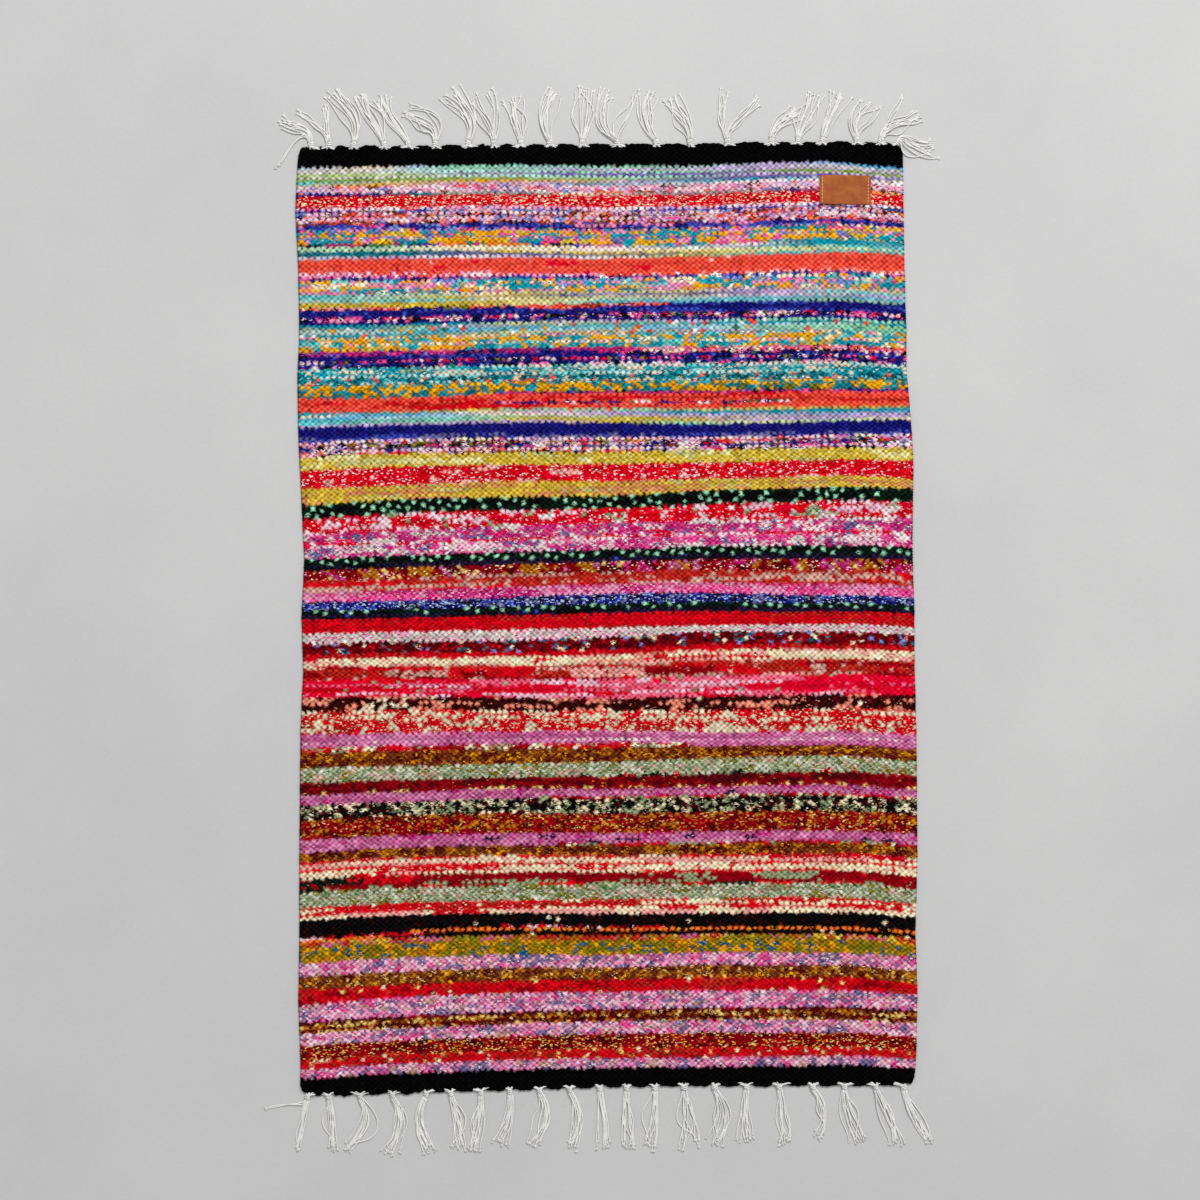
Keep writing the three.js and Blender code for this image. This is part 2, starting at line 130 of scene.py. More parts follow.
# The weft bows: how far a row stands above or below its middle, at shares of the width
BOW_SHARES = (0, 0.08, 0.165, 0.33, 0.5, 0.66, 0.79, 0.9, 0.95, 1)
BOWS = table(
    "along edge s08 s16 s33 mid s66 s79 s90 s95 far_edge",
    (0, -9, -7.9, -6.4, -3.3, 0, 1.1, 1.5, 1.8, 1.4, 1),
    (24, -13.5, -8, -5, -2, 0, 0.5, 1.5, 2.5, 1, -3),
    (49, -12.5, -9, -7, -3, 0, 1, 1, 1, -1, -3),
    (75, -14.5, -9.5, -7, -3, 0, 1.5, 2, 2, 0, -3),
    (90, -14.5, -9, -5, -1, 0, 1.5, 1.5, 1.5, 0, -4),
    (104, -11, -7.5, -5, -1, 0, 2.5, 3, 3, -1, -6.5),
    (126, -9.5, -5, -2.5, 0.5, 0, 3.5, 2.5, 1.5, 0.5, -2.5),
    (166, -8, -3.5, -1, 1.5, 0, 0, 1.5, 1.5, -0.5, -5),
    (180, -10, -6, -4, -1.5, 0, 0.5, 2.5, 0.5, -1.5, -7),
    (208, -8.5, -4.5, -2.5, 0, 0, 0, 1, 1.5, -1, -6),
    (246, -8.5, -4.5, -2, 0.5, 0, 1.5, 3, 2.5, 1.5, -2.5),
    (288, -7, -4.5, -3, 1, 0, 2, 4, 3.5, 1, -2),
    (315, -7, -4.5, -4, -1.5, 0, 4.5, 6, 6.5, 4, -1),
    (345, -5.5, -3.5, -2.5, -1, 0, -2, -1.5, -0.5, -2, -5.5),
    (374, 1, 2, 3, 1.5, 0, 2, 3, 4.5, 3.5, 2),
    (436, -7, -5.5, -4, -3, 0, 6.5, 6.5, 6, 5, 2),
    (447, -5.5, -4.5, -3.5, -2, 0, 2.5, 3.3, 4, 3, -0.5),
    (481, -8.5, -7.5, -6.5, -3.5, 0, 1.5, -1, -1.5, -1, -4.5),
    (522, -10, -7, -5.5, -2, 0, 3.5, 4, 4, 4, 1),
    (549, -14.5, -9.5, -7.5, -3.5, 0, 1.5, 3.5, 5.5, 5.5, 3.5),
    (575, -10, -6.5, -3, -1, 0, 5.5, 8, 9.5, 9, 7),
    (591, -8, -6, -4, 0, 0, 2, 4, 5.5, 4, 1),
    (618, -7, -3, -1.5, -0.7, 0, 2.3, 3, 4.5, 4.3, 4),
    (645, -6, -3.5, -2, 0, 0, -1.5, 0, 2, 2.5, 3),
    (676, -5, -4.8, -4.7, -0.5, 0, 0, 2, 2, 2, 2),
    (706, -6, -4.5, -3, -1, 0, 0.5, 2, 3, 0, -2),
    (765, -5.5, -5.2, -4.5, -2.5, 0, 0.5, 2, 2.5, -0.5, -2.5),
    (809, -1, 0, 0.5, 2, 0, 2.5, 5, 7.5, 6, 3),
    (900, -2, -1, 0, 1.5, 0, 0.2, 4, 4, 0, -3),
    (918, -2, -1.9, -1.6, -0.4, 0, 0.6, 1.8, 2.4, 2.2, 1.6),
)
BOW_BLUR = 0.03

# Bands of weft from the near hem to the far one: where each band ends and how high it stands
BANDS = table(
    "end high",
    (15, HEM_THICK),
    (48, 4.9),
    (74, 4.6),
    (104, 5.0),
    (151, 4.7),
    (175, 4.5),
    (205, 4.9),
    (234, 4.6),
    (264, 5.0),
    (293, 4.6),
    (320, 4.8),
    (342, 4.6),
    (376, 5.0),
    (408, 4.7),
    (437, 4.9),
    (474, 4.7),
    (508, 4.9),
    (543, 4.6),
    (574, 5.0),
    (607, 4.6),
    (641, 4.9),
    (677, 4.7),
    (708, 5.0),
    (739, 4.7),
    (765, 4.9),
    (795, 4.6),
    (839, 4.9),
    (876, 4.8),
    (903, 4.7),
    (MAT_LENGTH, HEM_THICK),
)

# The label, the flat bed in the cloth that it is sewn to, and the stitches along its short sides
LABEL = {"width": 50, "height": 28.5, "thick": 1.4, "corner": 2, "flank": 0.62, "edge_round": 0.7}
LABEL_PLACE = {"x": 233.5, "along": 875.5, "turn": -0.015}
LABEL_BACK = (0.992, 0.99)
LABEL_GRID = (81, 49)
LABEL_BED = {"height": 4.7, "margin": 20, "fade": 14}
LABEL_LIFT = 0.3
STITCHES = {"from_middle": 22.4, "count": 8, "pitch": 3.2, "length": 1.9, "radius": 0.46, "twist": 2.2}
STITCH_ARC = {"slant": 0.15, "sunk": 0.5, "rise": 0.62, "fullness": 0.6, "steps": 9, "sides": 8}
STITCH_DENT = {"depth": 0.16, "width": 0.8}

# Dyes of the weft, as seen in daylight, 0 to 255
DYES = {
    "hem": (3, 3, 4),
    "black": (9, 9, 11),
    "night": (30, 22, 50),
    "navy": (24, 24, 118),
    "royal": (50, 66, 172),
    "periwinkle": (122, 138, 212),
    "slate": (98, 98, 152),
    "heather": (122, 104, 150),
    "deep_blue": (0, 84, 132),
    "pale_blue": (180, 206, 236),
    "sky": (88, 176, 222),
    "turquoise": (0, 152, 172),
    "teal": (0, 116, 134),
    "deep_teal": (10, 70, 78),
    "aqua": (100, 202, 204),
    "pale_aqua": (182, 224, 222),
    "mint": (142, 208, 170),
    "leaf": (124, 162, 58),
    "lime": (178, 208, 118),
    "bottle": (8, 28, 18),
    "green": (48, 118, 70),
    "sage": (146, 160, 120),
    "pale_sage": (212, 215, 192),
    "sage_yellow": (200, 198, 122),
    "olive": (126, 118, 18),
    "gold": (240, 166, 8),
    "amber": (184, 108, 14),
    "mustard": (216, 186, 58),
    "pale_yellow": (244, 234, 164),
    "honey": (238, 198, 112),
    "cream": (254, 231, 192),
    "beige": (230, 212, 180),
    "white": (250, 246, 242),
    "blush": (250, 222, 226),
    "pale_pink": (246, 186, 206),
    "pink": (240, 140, 184),
    "hot_pink": (244, 76, 150),
    "watermelon": (250, 96, 128),
    "magenta": (198, 34, 120),
    "orchid": (196, 92, 146),
    "pale_orchid": (222, 134, 180),
    "lilac": (192, 166, 216),
    "purple": (116, 84, 172),
    "coral": (254, 80, 62),
    "orange": (250, 118, 34),
    "terracotta": (214, 138, 88),
    "salmon": (236, 140, 116),
    "rose": (244, 166, 156),
    "brick": (188, 38, 28),
    "red": (222, 4, 24),
    "crimson": (240, 0, 46),
    "dark_red": (146, 0, 16),
    "maroon": (84, 4, 14),
    "brown": (112, 50, 20),
    "dark_brown": (48, 8, 6),
    "taupe": (206, 156, 142),
    "stone": (214, 210, 202),
}

# Yarns: a mix of dyes and shares, and the usual run of one dye in millimetres. A drift changes
# slowly through its dyes from the left side to the right one. Flecks are finer than a float and
# specks are whole floats, each with its share. Ticks are dashes of one more dye, and loose is
# the share of floats that leave their run.
YARNS = yarn_book("""
dawn_sky: drift beige pale_blue mint lilac sky
dawn_stone: drift stone pale_aqua mint lilac stone
dawn_leaf: drift leaf lime purple purple leaf
dawn_mint: drift aqua gold lilac turquoise blush
party: mix blush 4 pale_pink 5 pink 3 lilac 1 periwinkle 2 coral 2 orange 1 brown 2; run 11
pale_party: mix blush 5 pale_pink 5 pink 2 lilac 2 coral 1 periwinkle 1 hot_pink 1; run 18
blue_party: mix periwinkle 4 royal 4 navy 2 pale_pink 3 blush 1 teal 1 brown 2; run 14
brown_party: mix coral 3 orange 2 brown 4 dark_brown 3 pink 3 blush 2 royal 2; run 12
navy_aqua: drift navy teal cream navy orange mint
red_cream: mix red 20 crimson 3; run 40; fleck cream 0.14 rose 0.08
royal_pink: mix navy 5 royal 6 pink 1.5 hot_pink 1 periwinkle 1; run 30
gold_party: mix gold 7 slate 2 pink 2 turquoise 4 mustard 2 hot_pink 1; run 20
party_line: mix pink 3 turquoise 3 periwinkle 3 gold 2 hot_pink 2 slate 1 cream 1; run 9
dark_line: mix magenta 3 night 4 royal 2 pink 2 orange 1 green 1; run 22
lake_cream: drift turquoise mint cream blush turquoise
lake_yellow: drift teal slate mustard pale_yellow aqua
lake_pale: drift pale_aqua lilac white sage_yellow aqua
coral: mix coral 30 crimson 1; run 60; specks rose 0.01
deep_coral: mix coral 12 red 2 brick 2; run 50
coral_pink: mix coral 4 pale_pink 3 pink 2 blush 2; run 16
coral_dots: mix coral 5 rose 3 blush 1; run 6
navy_dots: mix navy 5 royal 2 white 1 hot_pink 1; run 9
fair: mix gold 5 turquoise 5 pink 2 cream 2 periwinkle 2 aqua 2 mustard 1; run 20
fair_line: mix turquoise 5 pink 3 gold 3 hot_pink 1 slate 2 cream 2; run 12
meadow_cream: drift aqua cream sage_yellow lilac mustard
meadow_gold: drift aqua mustard slate lilac aqua
meadow_yellow: drift mustard pale_yellow aqua sky lime
sunset: mix coral 5 orange 2 pink 2 brown 2 dark_red 1; run 12
ember_line: mix black 3 coral 2 pink 2 cream 1 olive 1 navy 2; run 12
navy: mix navy 16 royal 5; run 30
gems: mix hot_pink 4 blush 3 black 4 olive 1.4 navy 3 crimson 2; run 8
gems_pale: mix blush 1.4 pink 2 black 5 navy 4 hot_pink 1.4 green 0.6; run 9
lagoon: drift turquoise sage_yellow lilac mint turquoise; specks coral 0.05 white 0.03
lagoon_pale: drift stone aqua sky pale_aqua mint; specks coral 0.06 gold 0.04 green 0.02
gold_teal: mix gold 6 turquoise 6 mustard 1 aqua 2 cream 0.6; run 9; fleck sage 0.1
cream_line: mix cream 4 aqua 2 pink 2 gold 2 turquoise 2; run 9
magenta_navy: mix magenta 6 hot_pink 3 night 2 navy 2 purple 1; run 16
thin_pink: mix cream 3 pink 4 hot_pink 3 coral 3 night 1; run 12
pink_white: mix pink 3 blush 3 hot_pink 2 magenta 1; run 10
turquoise: mix turquoise 7 teal 2 aqua 2 beige 1.4 sage 1; run 20; fleck beige 0.12
pale_aqua: mix pale_aqua 3 aqua 3 turquoise 2 stone 2; run 24; fleck beige 0.1
reef: mix teal 6 deep_teal 4 turquoise 2 aqua 1.5; run 14; specks coral 0.05 beige 0.05
reef_pink: mix aqua 4 teal 3 beige 2 coral 2 pale_aqua 2; run 18
gold_olive: mix gold 6 turquoise 3 teal 3 olive 1.6 mustard 1; run 7; fleck olive 0.1
confetti_navy: mix navy 5 white 3 coral 2 green 1 pink 2 black 1; run 8
harbour: drift turquoise mustard mint mustard turquoise; specks orange 0.03
harbour_cream: drift turquoise sky cream lilac turquoise
harbour_lilac: drift aqua mint mustard lilac lilac
pale_line: drift lilac mustard mint pale_yellow lilac
slate_navy: mix navy 16 royal 1; run 60
pale_navy: mix navy 4 slate 4 royal 3; run 50
market: mix blush 4 pale_pink 3 brown 3 olive 2 coral 2 navy 2 crimson 1 black 2 lilac 1; run 10
market_dark: mix dark_brown 2 olive 2 brown 2 deep_teal 2 crimson 2 orange 1 pink 2 lilac 2; run 9
market_pale: mix blush 4 pale_pink 3 lilac 2 cream 2 coral 1 navy 1 hot_pink 1; run 14
market_blue: mix navy 4 slate 3 blush 2 deep_teal 2 magenta 1 brown 2 black 1; run 9
mustard: mix mustard 12 pale_yellow 1 sage_yellow 1; run 30; fleck pale_yellow 0.08
mustard_terra: mix mustard 5 terracotta 2 sage_yellow 1; run 40; fleck terracotta 0.12
red_streak: mix red 12 crimson 2 rose 1; run 18; fleck blush 0.12
red: mix red 14 brick 4; run 60; fleck dark_red 0.12
bottle_mint: mix bottle 6 black 1; run 60; ticks mint
red_blush: mix red 7 crimson 4 blush 2 pale_pink 2 sage 0.6; run 13; fleck blush 0.08
orchid_mix: mix magenta 5 hot_pink 3 blush 2 stone 2 slate 1 orchid 2 crimson 1; run 14
pink_mix: mix hot_pink 3 magenta 4 stone 2 slate 1.4 blush 2 pale_pink 2; run 14
night: mix night 8 black 3 royal 0.4; run 30
maroon_gold: mix magenta 2 dark_red 5 amber 3 honey 0.6 maroon 3 orchid 1; run 5; fleck cream 0.08
taupe_brick: mix taupe 4 brick 5 red 1; run 40
hot_pink: mix hot_pink 5 pink 4 magenta 1; run 24; fleck pale_pink 0.12
navy_fleck: mix navy 5 night 3 slate 2 royal 2; run 4; fleck pale_blue 0.16
stone_pink: mix stone 7 pale_pink 1.5 blush 1; run 14; fleck hot_pink 0.16
dark_ticks: mix dark_red 4 maroon 6 red 1; run 10; specks teal 0.1 periwinkle 0.06 cream 0.08 black 0.03
cream_rose: mix cream 6 rose 4 red 1.4 salmon 1; run 40; loose 0.1
brick_taupe: mix brick 4 dark_red 2 taupe 3 rose 1 red 3; run 40; loose 0.08
crimson: mix crimson 12 watermelon 4 red 3 pale_pink 2; run 50; loose 0.08; specks sage 0.03
cocoa_salmon: mix dark_brown 7 maroon 2 salmon 4 beige 1; run 26; loose 0.12
red_beige: mix red 6 brick 1 beige 4; run 14; fleck beige 0.16
pale_orchid: mix pale_orchid 5 orchid 5; run 40
red_sage: mix dark_red 3 red 3 sage 2 cream 1; run 13
tobacco: mix amber 4 brown 6 maroon 5; run 3; fleck brown 0.2 gold 0.08
sage: mix sage 7 pale_sage 1 olive 1.4 taupe 1; run 6; fleck pale_sage 0.2 green 0.06 taupe 0.06
sage_runs: mix sage 5 pale_sage 2 red 3 bottle 1.4; run 14; fleck pale_sage 0.15
dark_red: mix dark_red 12 maroon 5; run 16; fleck maroon 0.16 gold 0.015
orchid: mix orchid 8 pale_orchid 4 magenta 1.4 night 0.5; run 12; fleck pale_orchid 0.12
pepper: mix black 7 cream 2.4 sage 3 maroon 1.6; run 4
ember: mix dark_red 9 maroon 5 amber 2; run 6; fleck amber 0.1 honey 0.06
red_line: mix red 7 brick 2 cream 2; run 40; loose 0.05; fleck rose 0.06
cream_peach: mix cream 6 rose 4 red 2; run 60; loose 0.05; fleck rose 0.16
pink_red: mix watermelon 5 pale_pink 3 crimson 4; run 36; loose 0.06
red_cream_runs: mix cream 5 red 4 rose 3 salmon 1; run 70; loose 0.06
red_sage_runs: mix dark_red 8 sage 3 bottle 1.4 red 2; run 30; loose 0.1
red_orange_runs: mix red 6 cream 4 rose 1.4 brick 2; run 60; loose 0.08
black: mix black 14 dark_brown 3; run 4; specks cream 0.02
ember_dash: mix red 5 blush 2 crimson 2 black 2; run 8
orange_dots: mix orange 8 gold 1 black 1; run 12
gold_ticks: mix dark_red 6 maroon 3 honey 3; run 5
orchid_pale: mix pale_orchid 5 blush 1; run 12
tobacco_gold: mix amber 5 brown 6 maroon 2 gold 1; run 3; fleck brown 0.2 honey 0.08
olive_bloom: mix olive 3 mustard 2 amber 2 brick 3 orchid 2 terracotta 1; run 16
olive_teal: mix gold 2 olive 7 amber 3; run 5; fleck gold 0.1 olive 0.16; specks deep_blue 0.14
lilac_pink: mix pink 5 pale_pink 3 heather 3 hot_pink 2 taupe 1 orchid 1; run 5; \
    fleck heather 0.08 blush 0.1
red_gold: mix red 9 brick 3 dark_red 3; run 12; fleck dark_red 0.12; specks honey 0.035 cream 0.02
gold_dark: mix honey 3 amber 3 maroon 3 brown 2; run 6
maroon: mix maroon 6 dark_brown 3 dark_red 3; run 20
garnet: mix dark_red 10 maroon 4 brick 1; run 10; fleck honey 0.12 gold 0.04
red_honey: mix red 7 brick 3 dark_red 1; run 16; specks honey 0.07 cream 0.06 brown 0.08
""")

# The weaver's plan from the far hem to the near one: rows of weft and their yarn. Where a new
# yarn was joined in on the way, the share of the width at which it starts comes before its name.
PLAN = weaving_plan("""
1 dawn_sky, 2 dawn_stone, 1 dawn_leaf, 1 dawn_stone, 1 dawn_leaf, 2 dawn_mint, 1 party,
1 pale_party, 1 party, 1 navy_aqua, 5 red_cream, 1 pale_party, 1 blue_party, 1 party,
1 brown_party, 1 pale_party, 1 party, 1 brown_party, 2 royal_pink, 1 party_line, 2 gold_party,
1 party_line, 2 gold_party, 1 dark_line 0.5 gold_party 0.75 turquoise, 2 lake_cream, 2 lake_yellow,
1 lake_pale, 5 coral, 1 coral_pink 0.3 coral, 1 pink_white 0.2 coral_pink 0.5 coral_dots,
1 navy_dots, 1 fair, 1 fair_line, 2 fair, 1 fair_line, 1 meadow_cream, 1 meadow_gold,
1 meadow_cream, 2 meadow_yellow, 1 ember_line 0.36 sunset 0.62 navy, 1 navy 0.4 sunset 0.5 navy,
2 navy, 1 gems, 1 gems_pale, 1 navy, 2 lagoon, 2 lagoon_pale, 1 lagoon, 1 cream_line, 2 gold_teal,
1 cream_line, 2 gold_teal, 2 magenta_navy 0.55 thin_pink, 1 navy 0.55 gems_pale, 1 navy, 1 gems,
1 navy, 1 gems_pale, 1 pale_aqua, 2 turquoise, 1 pale_aqua, 2 reef, 1 reef_pink, 4 gold_olive,
1 gold_olive 0.34 magenta_navy, 3 deep_coral, 1 deep_coral 0.3 confetti_navy 0.8 deep_coral,
2 deep_coral, 1 harbour, 2 harbour_cream, 2 harbour_lilac, 1 pale_line, 4 slate_navy, 2 pale_navy,
1 market_pale, 1 market_dark, 1 market, 1 market_blue, 1 market_pale, 1 market, 5 mustard,
7 red_streak, 6 mustard_terra, 5 bottle_mint, 6 red_blush, 5 orchid_mix, 1 red_blush, 5 pink_mix,
3 bottle_mint, 2 night, 4 maroon_gold, 5 taupe_brick, 4 hot_pink, 4 navy_fleck, 2 bottle_mint,
2 night, 6 red, 4 stone_pink, 5 dark_ticks, 2 red, 4 cream_rose, 6 brick_taupe, 2 crimson,
1 pink_red, 3 crimson, 2 pink_red, 5 cocoa_salmon, 8 red_beige, 3 pale_orchid, 1 orchid_pale,
1 pale_orchid, 2 red_sage 0.62 pale_orchid, 6 tobacco, 5 sage, 1 sage 0.38 sage_runs, 4 dark_red,
1 gold_ticks, 3 orchid, 1 orchid 0.38 red_sage, 6 pepper, 8 ember, 4 orchid, 1 orchid 0.4 red_sage,
4 tobacco, 1 red_line, 2 cream_peach, 1 red_line, 2 cream_peach, 1 red_cream_runs, 5 red_sage_runs,
6 sage, 1 red_line, 1 red_orange_runs, 2 red_line, 2 cream_peach, 5 black,
1 black 0.32 ember_dash 0.6 black, 1 black 0.21 orange_dots, 1 ember_dash 0.21 black,
1 orange_dots 0.16 black, 2 olive_bloom, 6 olive_teal, 5 lilac_pink, 5 tobacco_gold, 5 red_gold,
7 lilac_pink, 1 maroon, 2 gold_dark, 1 maroon, 1 gold_dark, 5 lilac_pink, 6 garnet, 4 red_honey,
4 lilac_pink
""")

# How yarn falls in the next row: how often its runs carry on, how far their ends move in floats,
# how many floats stand alone, and how far a joined yarn's start moves. The pitch is a warp's.
# A yarn without a fleck of its own is marled: this share of each float is flecked with the dyes
# of its mix, and much less of it in a plain yarn, one of long runs.
FALL = {"carry": 0.3, "ragged": 1.8, "knees": 40, "loose": 0.16, "join": 0.015, "pitch": 3.1}
MARL = {"marled": 0.3, "plain": 0.05, "long_run": 20}
RUN_SHAPE = 2.0

# Ticks come every so many warps, a few further on in each row, and most of them are there
TICKS = {"every": 8, "step": 3, "kept": 0.75}
UNEVEN_DYE = {"row": 0.08, "float": 0.15, "drift": 0.45, "drift_knees": 9}

# Tassels of the near fringe. root: x of the knot. lean and out: where the tip lies from the
# knot, sideways and away from the mat. bow: sideways bulge. spread: width across the tips.
# Of a tassel that parts in two, forked of FORK_SHARES of the yarns have their own tip and bulge.
FORK_SHARES = 6
TASSEL_COLUMNS = "root lean out bow spread forked fork_lean fork_out fork_bow"
NEAR_TASSELS = table(
    TASSEL_COLUMNS,
    (-292.5, -9, 55, -2, 11, 1, -44, 19, -7),
    (-272, 4, 55, 2, 10),
    (-241.5, -13, 56, 9, 10),
    (-210, -4, 61, 9, 12),
    (-176, 4, 60, -9, 11),
    (-152.5, 8, 59, 3, 12),
    (-123, -6, 60, 1, 13),
    (-94.5, -10, 57, 3, 12),
    (-66, -6, 57, 9, 12),
    (-36.5, 2, 61, 8, 13),
    (-6.5, 5, 61, 1, 13),
    (20, 3, 63, -1, 12),
    (47.5, -5, 64, 1, 12),
    (76, -2, 64, 2, 11, 3, 14, 61, 2),
    (105.5, 1, 60, 8, 14),
    (137.5, 0, 57, -2, 14),
    (169, 5, 60, 2, 13),
    (201.5, 6, 54, 9, 12),
    (233, 14, 58, -1, 15),
    (263, 21, 60, 4, 15),
    (290.5, 26, 58, 1, 13),
)

# Tassels of the far fringe, with the same columns
FAR_TASSELS = table(
    TASSEL_COLUMNS,
    (-288.5, -31, 27, 3, 11, 1, -36, -19, 6),
    (-271, -31, 37, 0, 10, 3, -5, 43, 1),
    (-247.5, -22, 57, 7, 11),
    (-217, -25, 52, -3, 12),
    (-193, -28, 51, -5, 10),
    (-167, -30, 36, 6, 12),
    (-135.5, -18, 55, 8, 18),
    (-110, -22, 50, 1, 10, 3, -4, 56, 6),
    (-83.5, -9, 47, -1, 16),
    (-54.5, 3, 55, -8, 13),
    (-24, 4, 58, 2, 21),
    (11.5, -9, 54, -12, 12, 2, 15, 48, 5),
    (49.5, -8, 53, -8, 12),
    (82, -20, 47, 2, 16),
    (119, -3, 54, -4, 13, 3, 29, 46, 1),
    (161, 25, 34, -1, 11),
    (187, 17, 49, 1, 11),
    (211.5, 17, 50, 1, 15),
    (245.5, 8, 43, -7, 12, 2, 23, 38, 3),
    (268, 39, 29, -1, 12, 2, 23, 50, 1),
    (284, 36, -3, 6, 15),
)

# How tassels lie, as in the solids: how far the root stands out of the hem, how far a knot turns
# to its tip and its bulge, where the loose yarns begin, and the pulls of their curve
LIE = {"out": 0.3, "knot_turn": 0.3, "bulge_turn": 0.02, "begin": 6.8, "curve_pull": 0.32, "bulge_pull": 1.1}

# The yarns of a tassel: round two-ply yarns, in layers at the knot and level at the tips
YARN = {"radius": 0.74, "count": 10, "steps": 26, "sides": 6, "twist": 7.5, "lobes": 0.28}
BUNDLE = {"width": 5.2, "fan": 1.05, "swapped": 0.45, "least_spread": 1.5}
PILE = {"layers": 3, "layer": 1.05, "at_knot": 0.8, "fall": 3, "lift": 1.1, "lift_share": 0.9}
LOOSE = {"curl": (0.7, 2.2), "waves": (0.6, 1.7), "stray": 0.17, "stray_curl": (3, 11), "short": 0.14}
STRAY_FULLNESS = 1.5

# The knot: two yarns wound round the neck, from and to distances from its root
KNOT = {"wide": (1.9, 3.0), "high": 2.0, "from": 0.6, "to": 5.6, "half_turns": 2.6, "yarn": 0.85}
KNOT_FORM = {"ends": 0.62, "fullness": 0.6, "flat": 0.95, "lift": 0.55, "steps": 34, "sides": 8}
NECK = {"from": 1.4, "steps": 4}

# The hairs at a cut end: how far back they start, how they splay and how low they droop
FRAY = {"hairs": 6, "back": 1.4, "length": 4.6, "radius": 0.42, "splay": 0.24, "low": (0.35, 1.3)}
HAIR = {"uneven": (0.6, 1), "droop": 0.7, "steps": 4, "sides": 5}

# The hem's last rows stand out between the knots, and back at them
SCALLOP = {"depth": 3.3, "narrow": 6.5, "ragged": 0.5, "knees": 1.9, "reach": 320, "fade": 5}

# Warp ends on their way along the hem's edge into the knot
LEAD_IN = {"reach": (3, 12), "share": (0.3, 1), "inside": (-1.3, 0.9), "radius": 0.6, "bend": 2.6}
LEAD_IN_RISE = {"into_knot": 3.6, "high": 2.6, "arch": 0.9, "uneven": 0.4, "steps": 9, "sides": 5}

NEAR_END = {"along": 0, "outward": -1, "seed": 3, "spread": 1.3}
FAR_END = {"along": MAT_LENGTH, "outward": 1, "seed": 4, "spread": 1.7}


def label_shift():
    """How far the frame's origin moved the tables' sizes, found from the label's own place."""
    low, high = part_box("label")
    middle = (np.array(low) + np.array(high)) / 2 / MM
    return middle[0] - LABEL_PLACE["x"], middle[1] - LABEL_PLACE["along"] + MAT_LENGTH / 2


SHIFT = label_shift()


# Meshes

def make_mesh(name, points, faces, smooth=True):
    """A mesh object from points in millimetres, not yet shifted, and rows of corner indices."""
    placed = (points + np.array([SHIFT[0], SHIFT[1], 0])) * MM
    mesh = bpy.data.meshes.new(name)
    mesh.from_pydata(placed.tolist(), [], [face.tolist() for face in faces])
    mesh.validate()
    mesh.shade_smooth() if smooth else mesh.shade_flat()
    piece = bpy.data.objects.new(name, mesh)
    bpy.context.scene.collection.objects.link(piece)
    return piece


def add_colours(piece, name, colours):
    """A colour for each point, red, green, blue and alpha, as plain light."""
    layer = piece.data.attributes.new(name, "FLOAT_COLOR", "POINT")
    layer.data.foreach_set("color", colours.astype(np.float32).ravel())


def add_values(piece, name, values):
    """One number for each point."""
    layer = piece.data.attributes.new(name, "FLOAT", "POINT")
    layer.data.foreach_set("value", values.astype(np.float32).ravel())


def as_light(colour):
    """A colour of 0 to 255 as plain light: the usual curve of screens undone."""
    share = np.array(colour, float) / 255
    return np.where(share <= 0.04045, share / 12.92, ((share + 0.055) / 1.055) ** 2.4)


def grid_faces(rows, columns, start=0):
    """The quads of a grid of points, rows by columns, facing up where rows go along +Y. Every other
    quad begins one corner later, so that the diagonals meet at the crossings' middles."""
    index = start + np.arange(rows * columns).reshape(rows, columns)
    corners = np.stack([index[:-1, :-1], index[:-1, 1:], index[1:, 1:], index[1:, :-1]], axis=-1)
    odd = np.add.outer(np.arange(rows - 1), np.arange(columns - 1)) % 2 == 1
    return np.where(odd[..., None], np.roll(corners, -1, axis=-1), corners).reshape(-1, 4)


# The cloth's form

def bow_at(shares, along):
    """Rise of the rows: straight lines between the table's values, blurred a little across."""
    hats = np.array([np.interp(shares, BOW_SHARES, unit) for unit in np.eye(len(BOW_SHARES))])
    near = np.exp(-(((shares[:, None] - shares[None, :]) / BOW_BLUR) ** 2))
    hats = hats @ (near / near.sum(axis=1)[:, None]).T
    columns = [BOWS[name] for name in list(BOWS)[1:]]
    rises = np.array([np.interp(along, BOWS["along"], column) for column in columns])
    return rises.T @ hats


def corner_fall(distance):
    """A quarter circle: how far an end edge falls back at a distance from the nearer side."""
    run = CORNER_RADIUS - np.clip(distance, 0, CORNER_RADIUS)
    return CORNER_RADIUS - np.sqrt(CORNER_RADIUS**2 - run**2)


def mat_points(shares, along):
    """x and y of the cloth for each row (along) and share of the width, as two grids."""
    left = np.interp(along, SIDES["along"], SIDES["left"])[:, None]
    right = np.interp(along, SIDES["along"], SIDES["right"])[:, None]
    x = left + (right - left) * shares[None, :]
    fall = corner_fall(np.minimum(x - left, right - x))
    to_end = np.minimum(along, MAT_LENGTH - along)
    hem_share = np.clip(1 - to_end / BANDS["end"][0], 0, 1)
    inward = np.where(along < MAT_LENGTH / 2, 1, -1)
    y = along[:, None] - MAT_LENGTH / 2 + bow_at(shares, along) + (inward * hem_share)[:, None] * fall
    return x, y


def end_edge_y(end, x):
    """y of an end edge of the mat at each x."""
    shares = np.linspace(0, 1, 2 * WARPS + 1)
    edge_x, edge_y = mat_points(shares, np.array([float(end["along"])]))
    return np.interp(x, edge_x[0], edge_y[0])


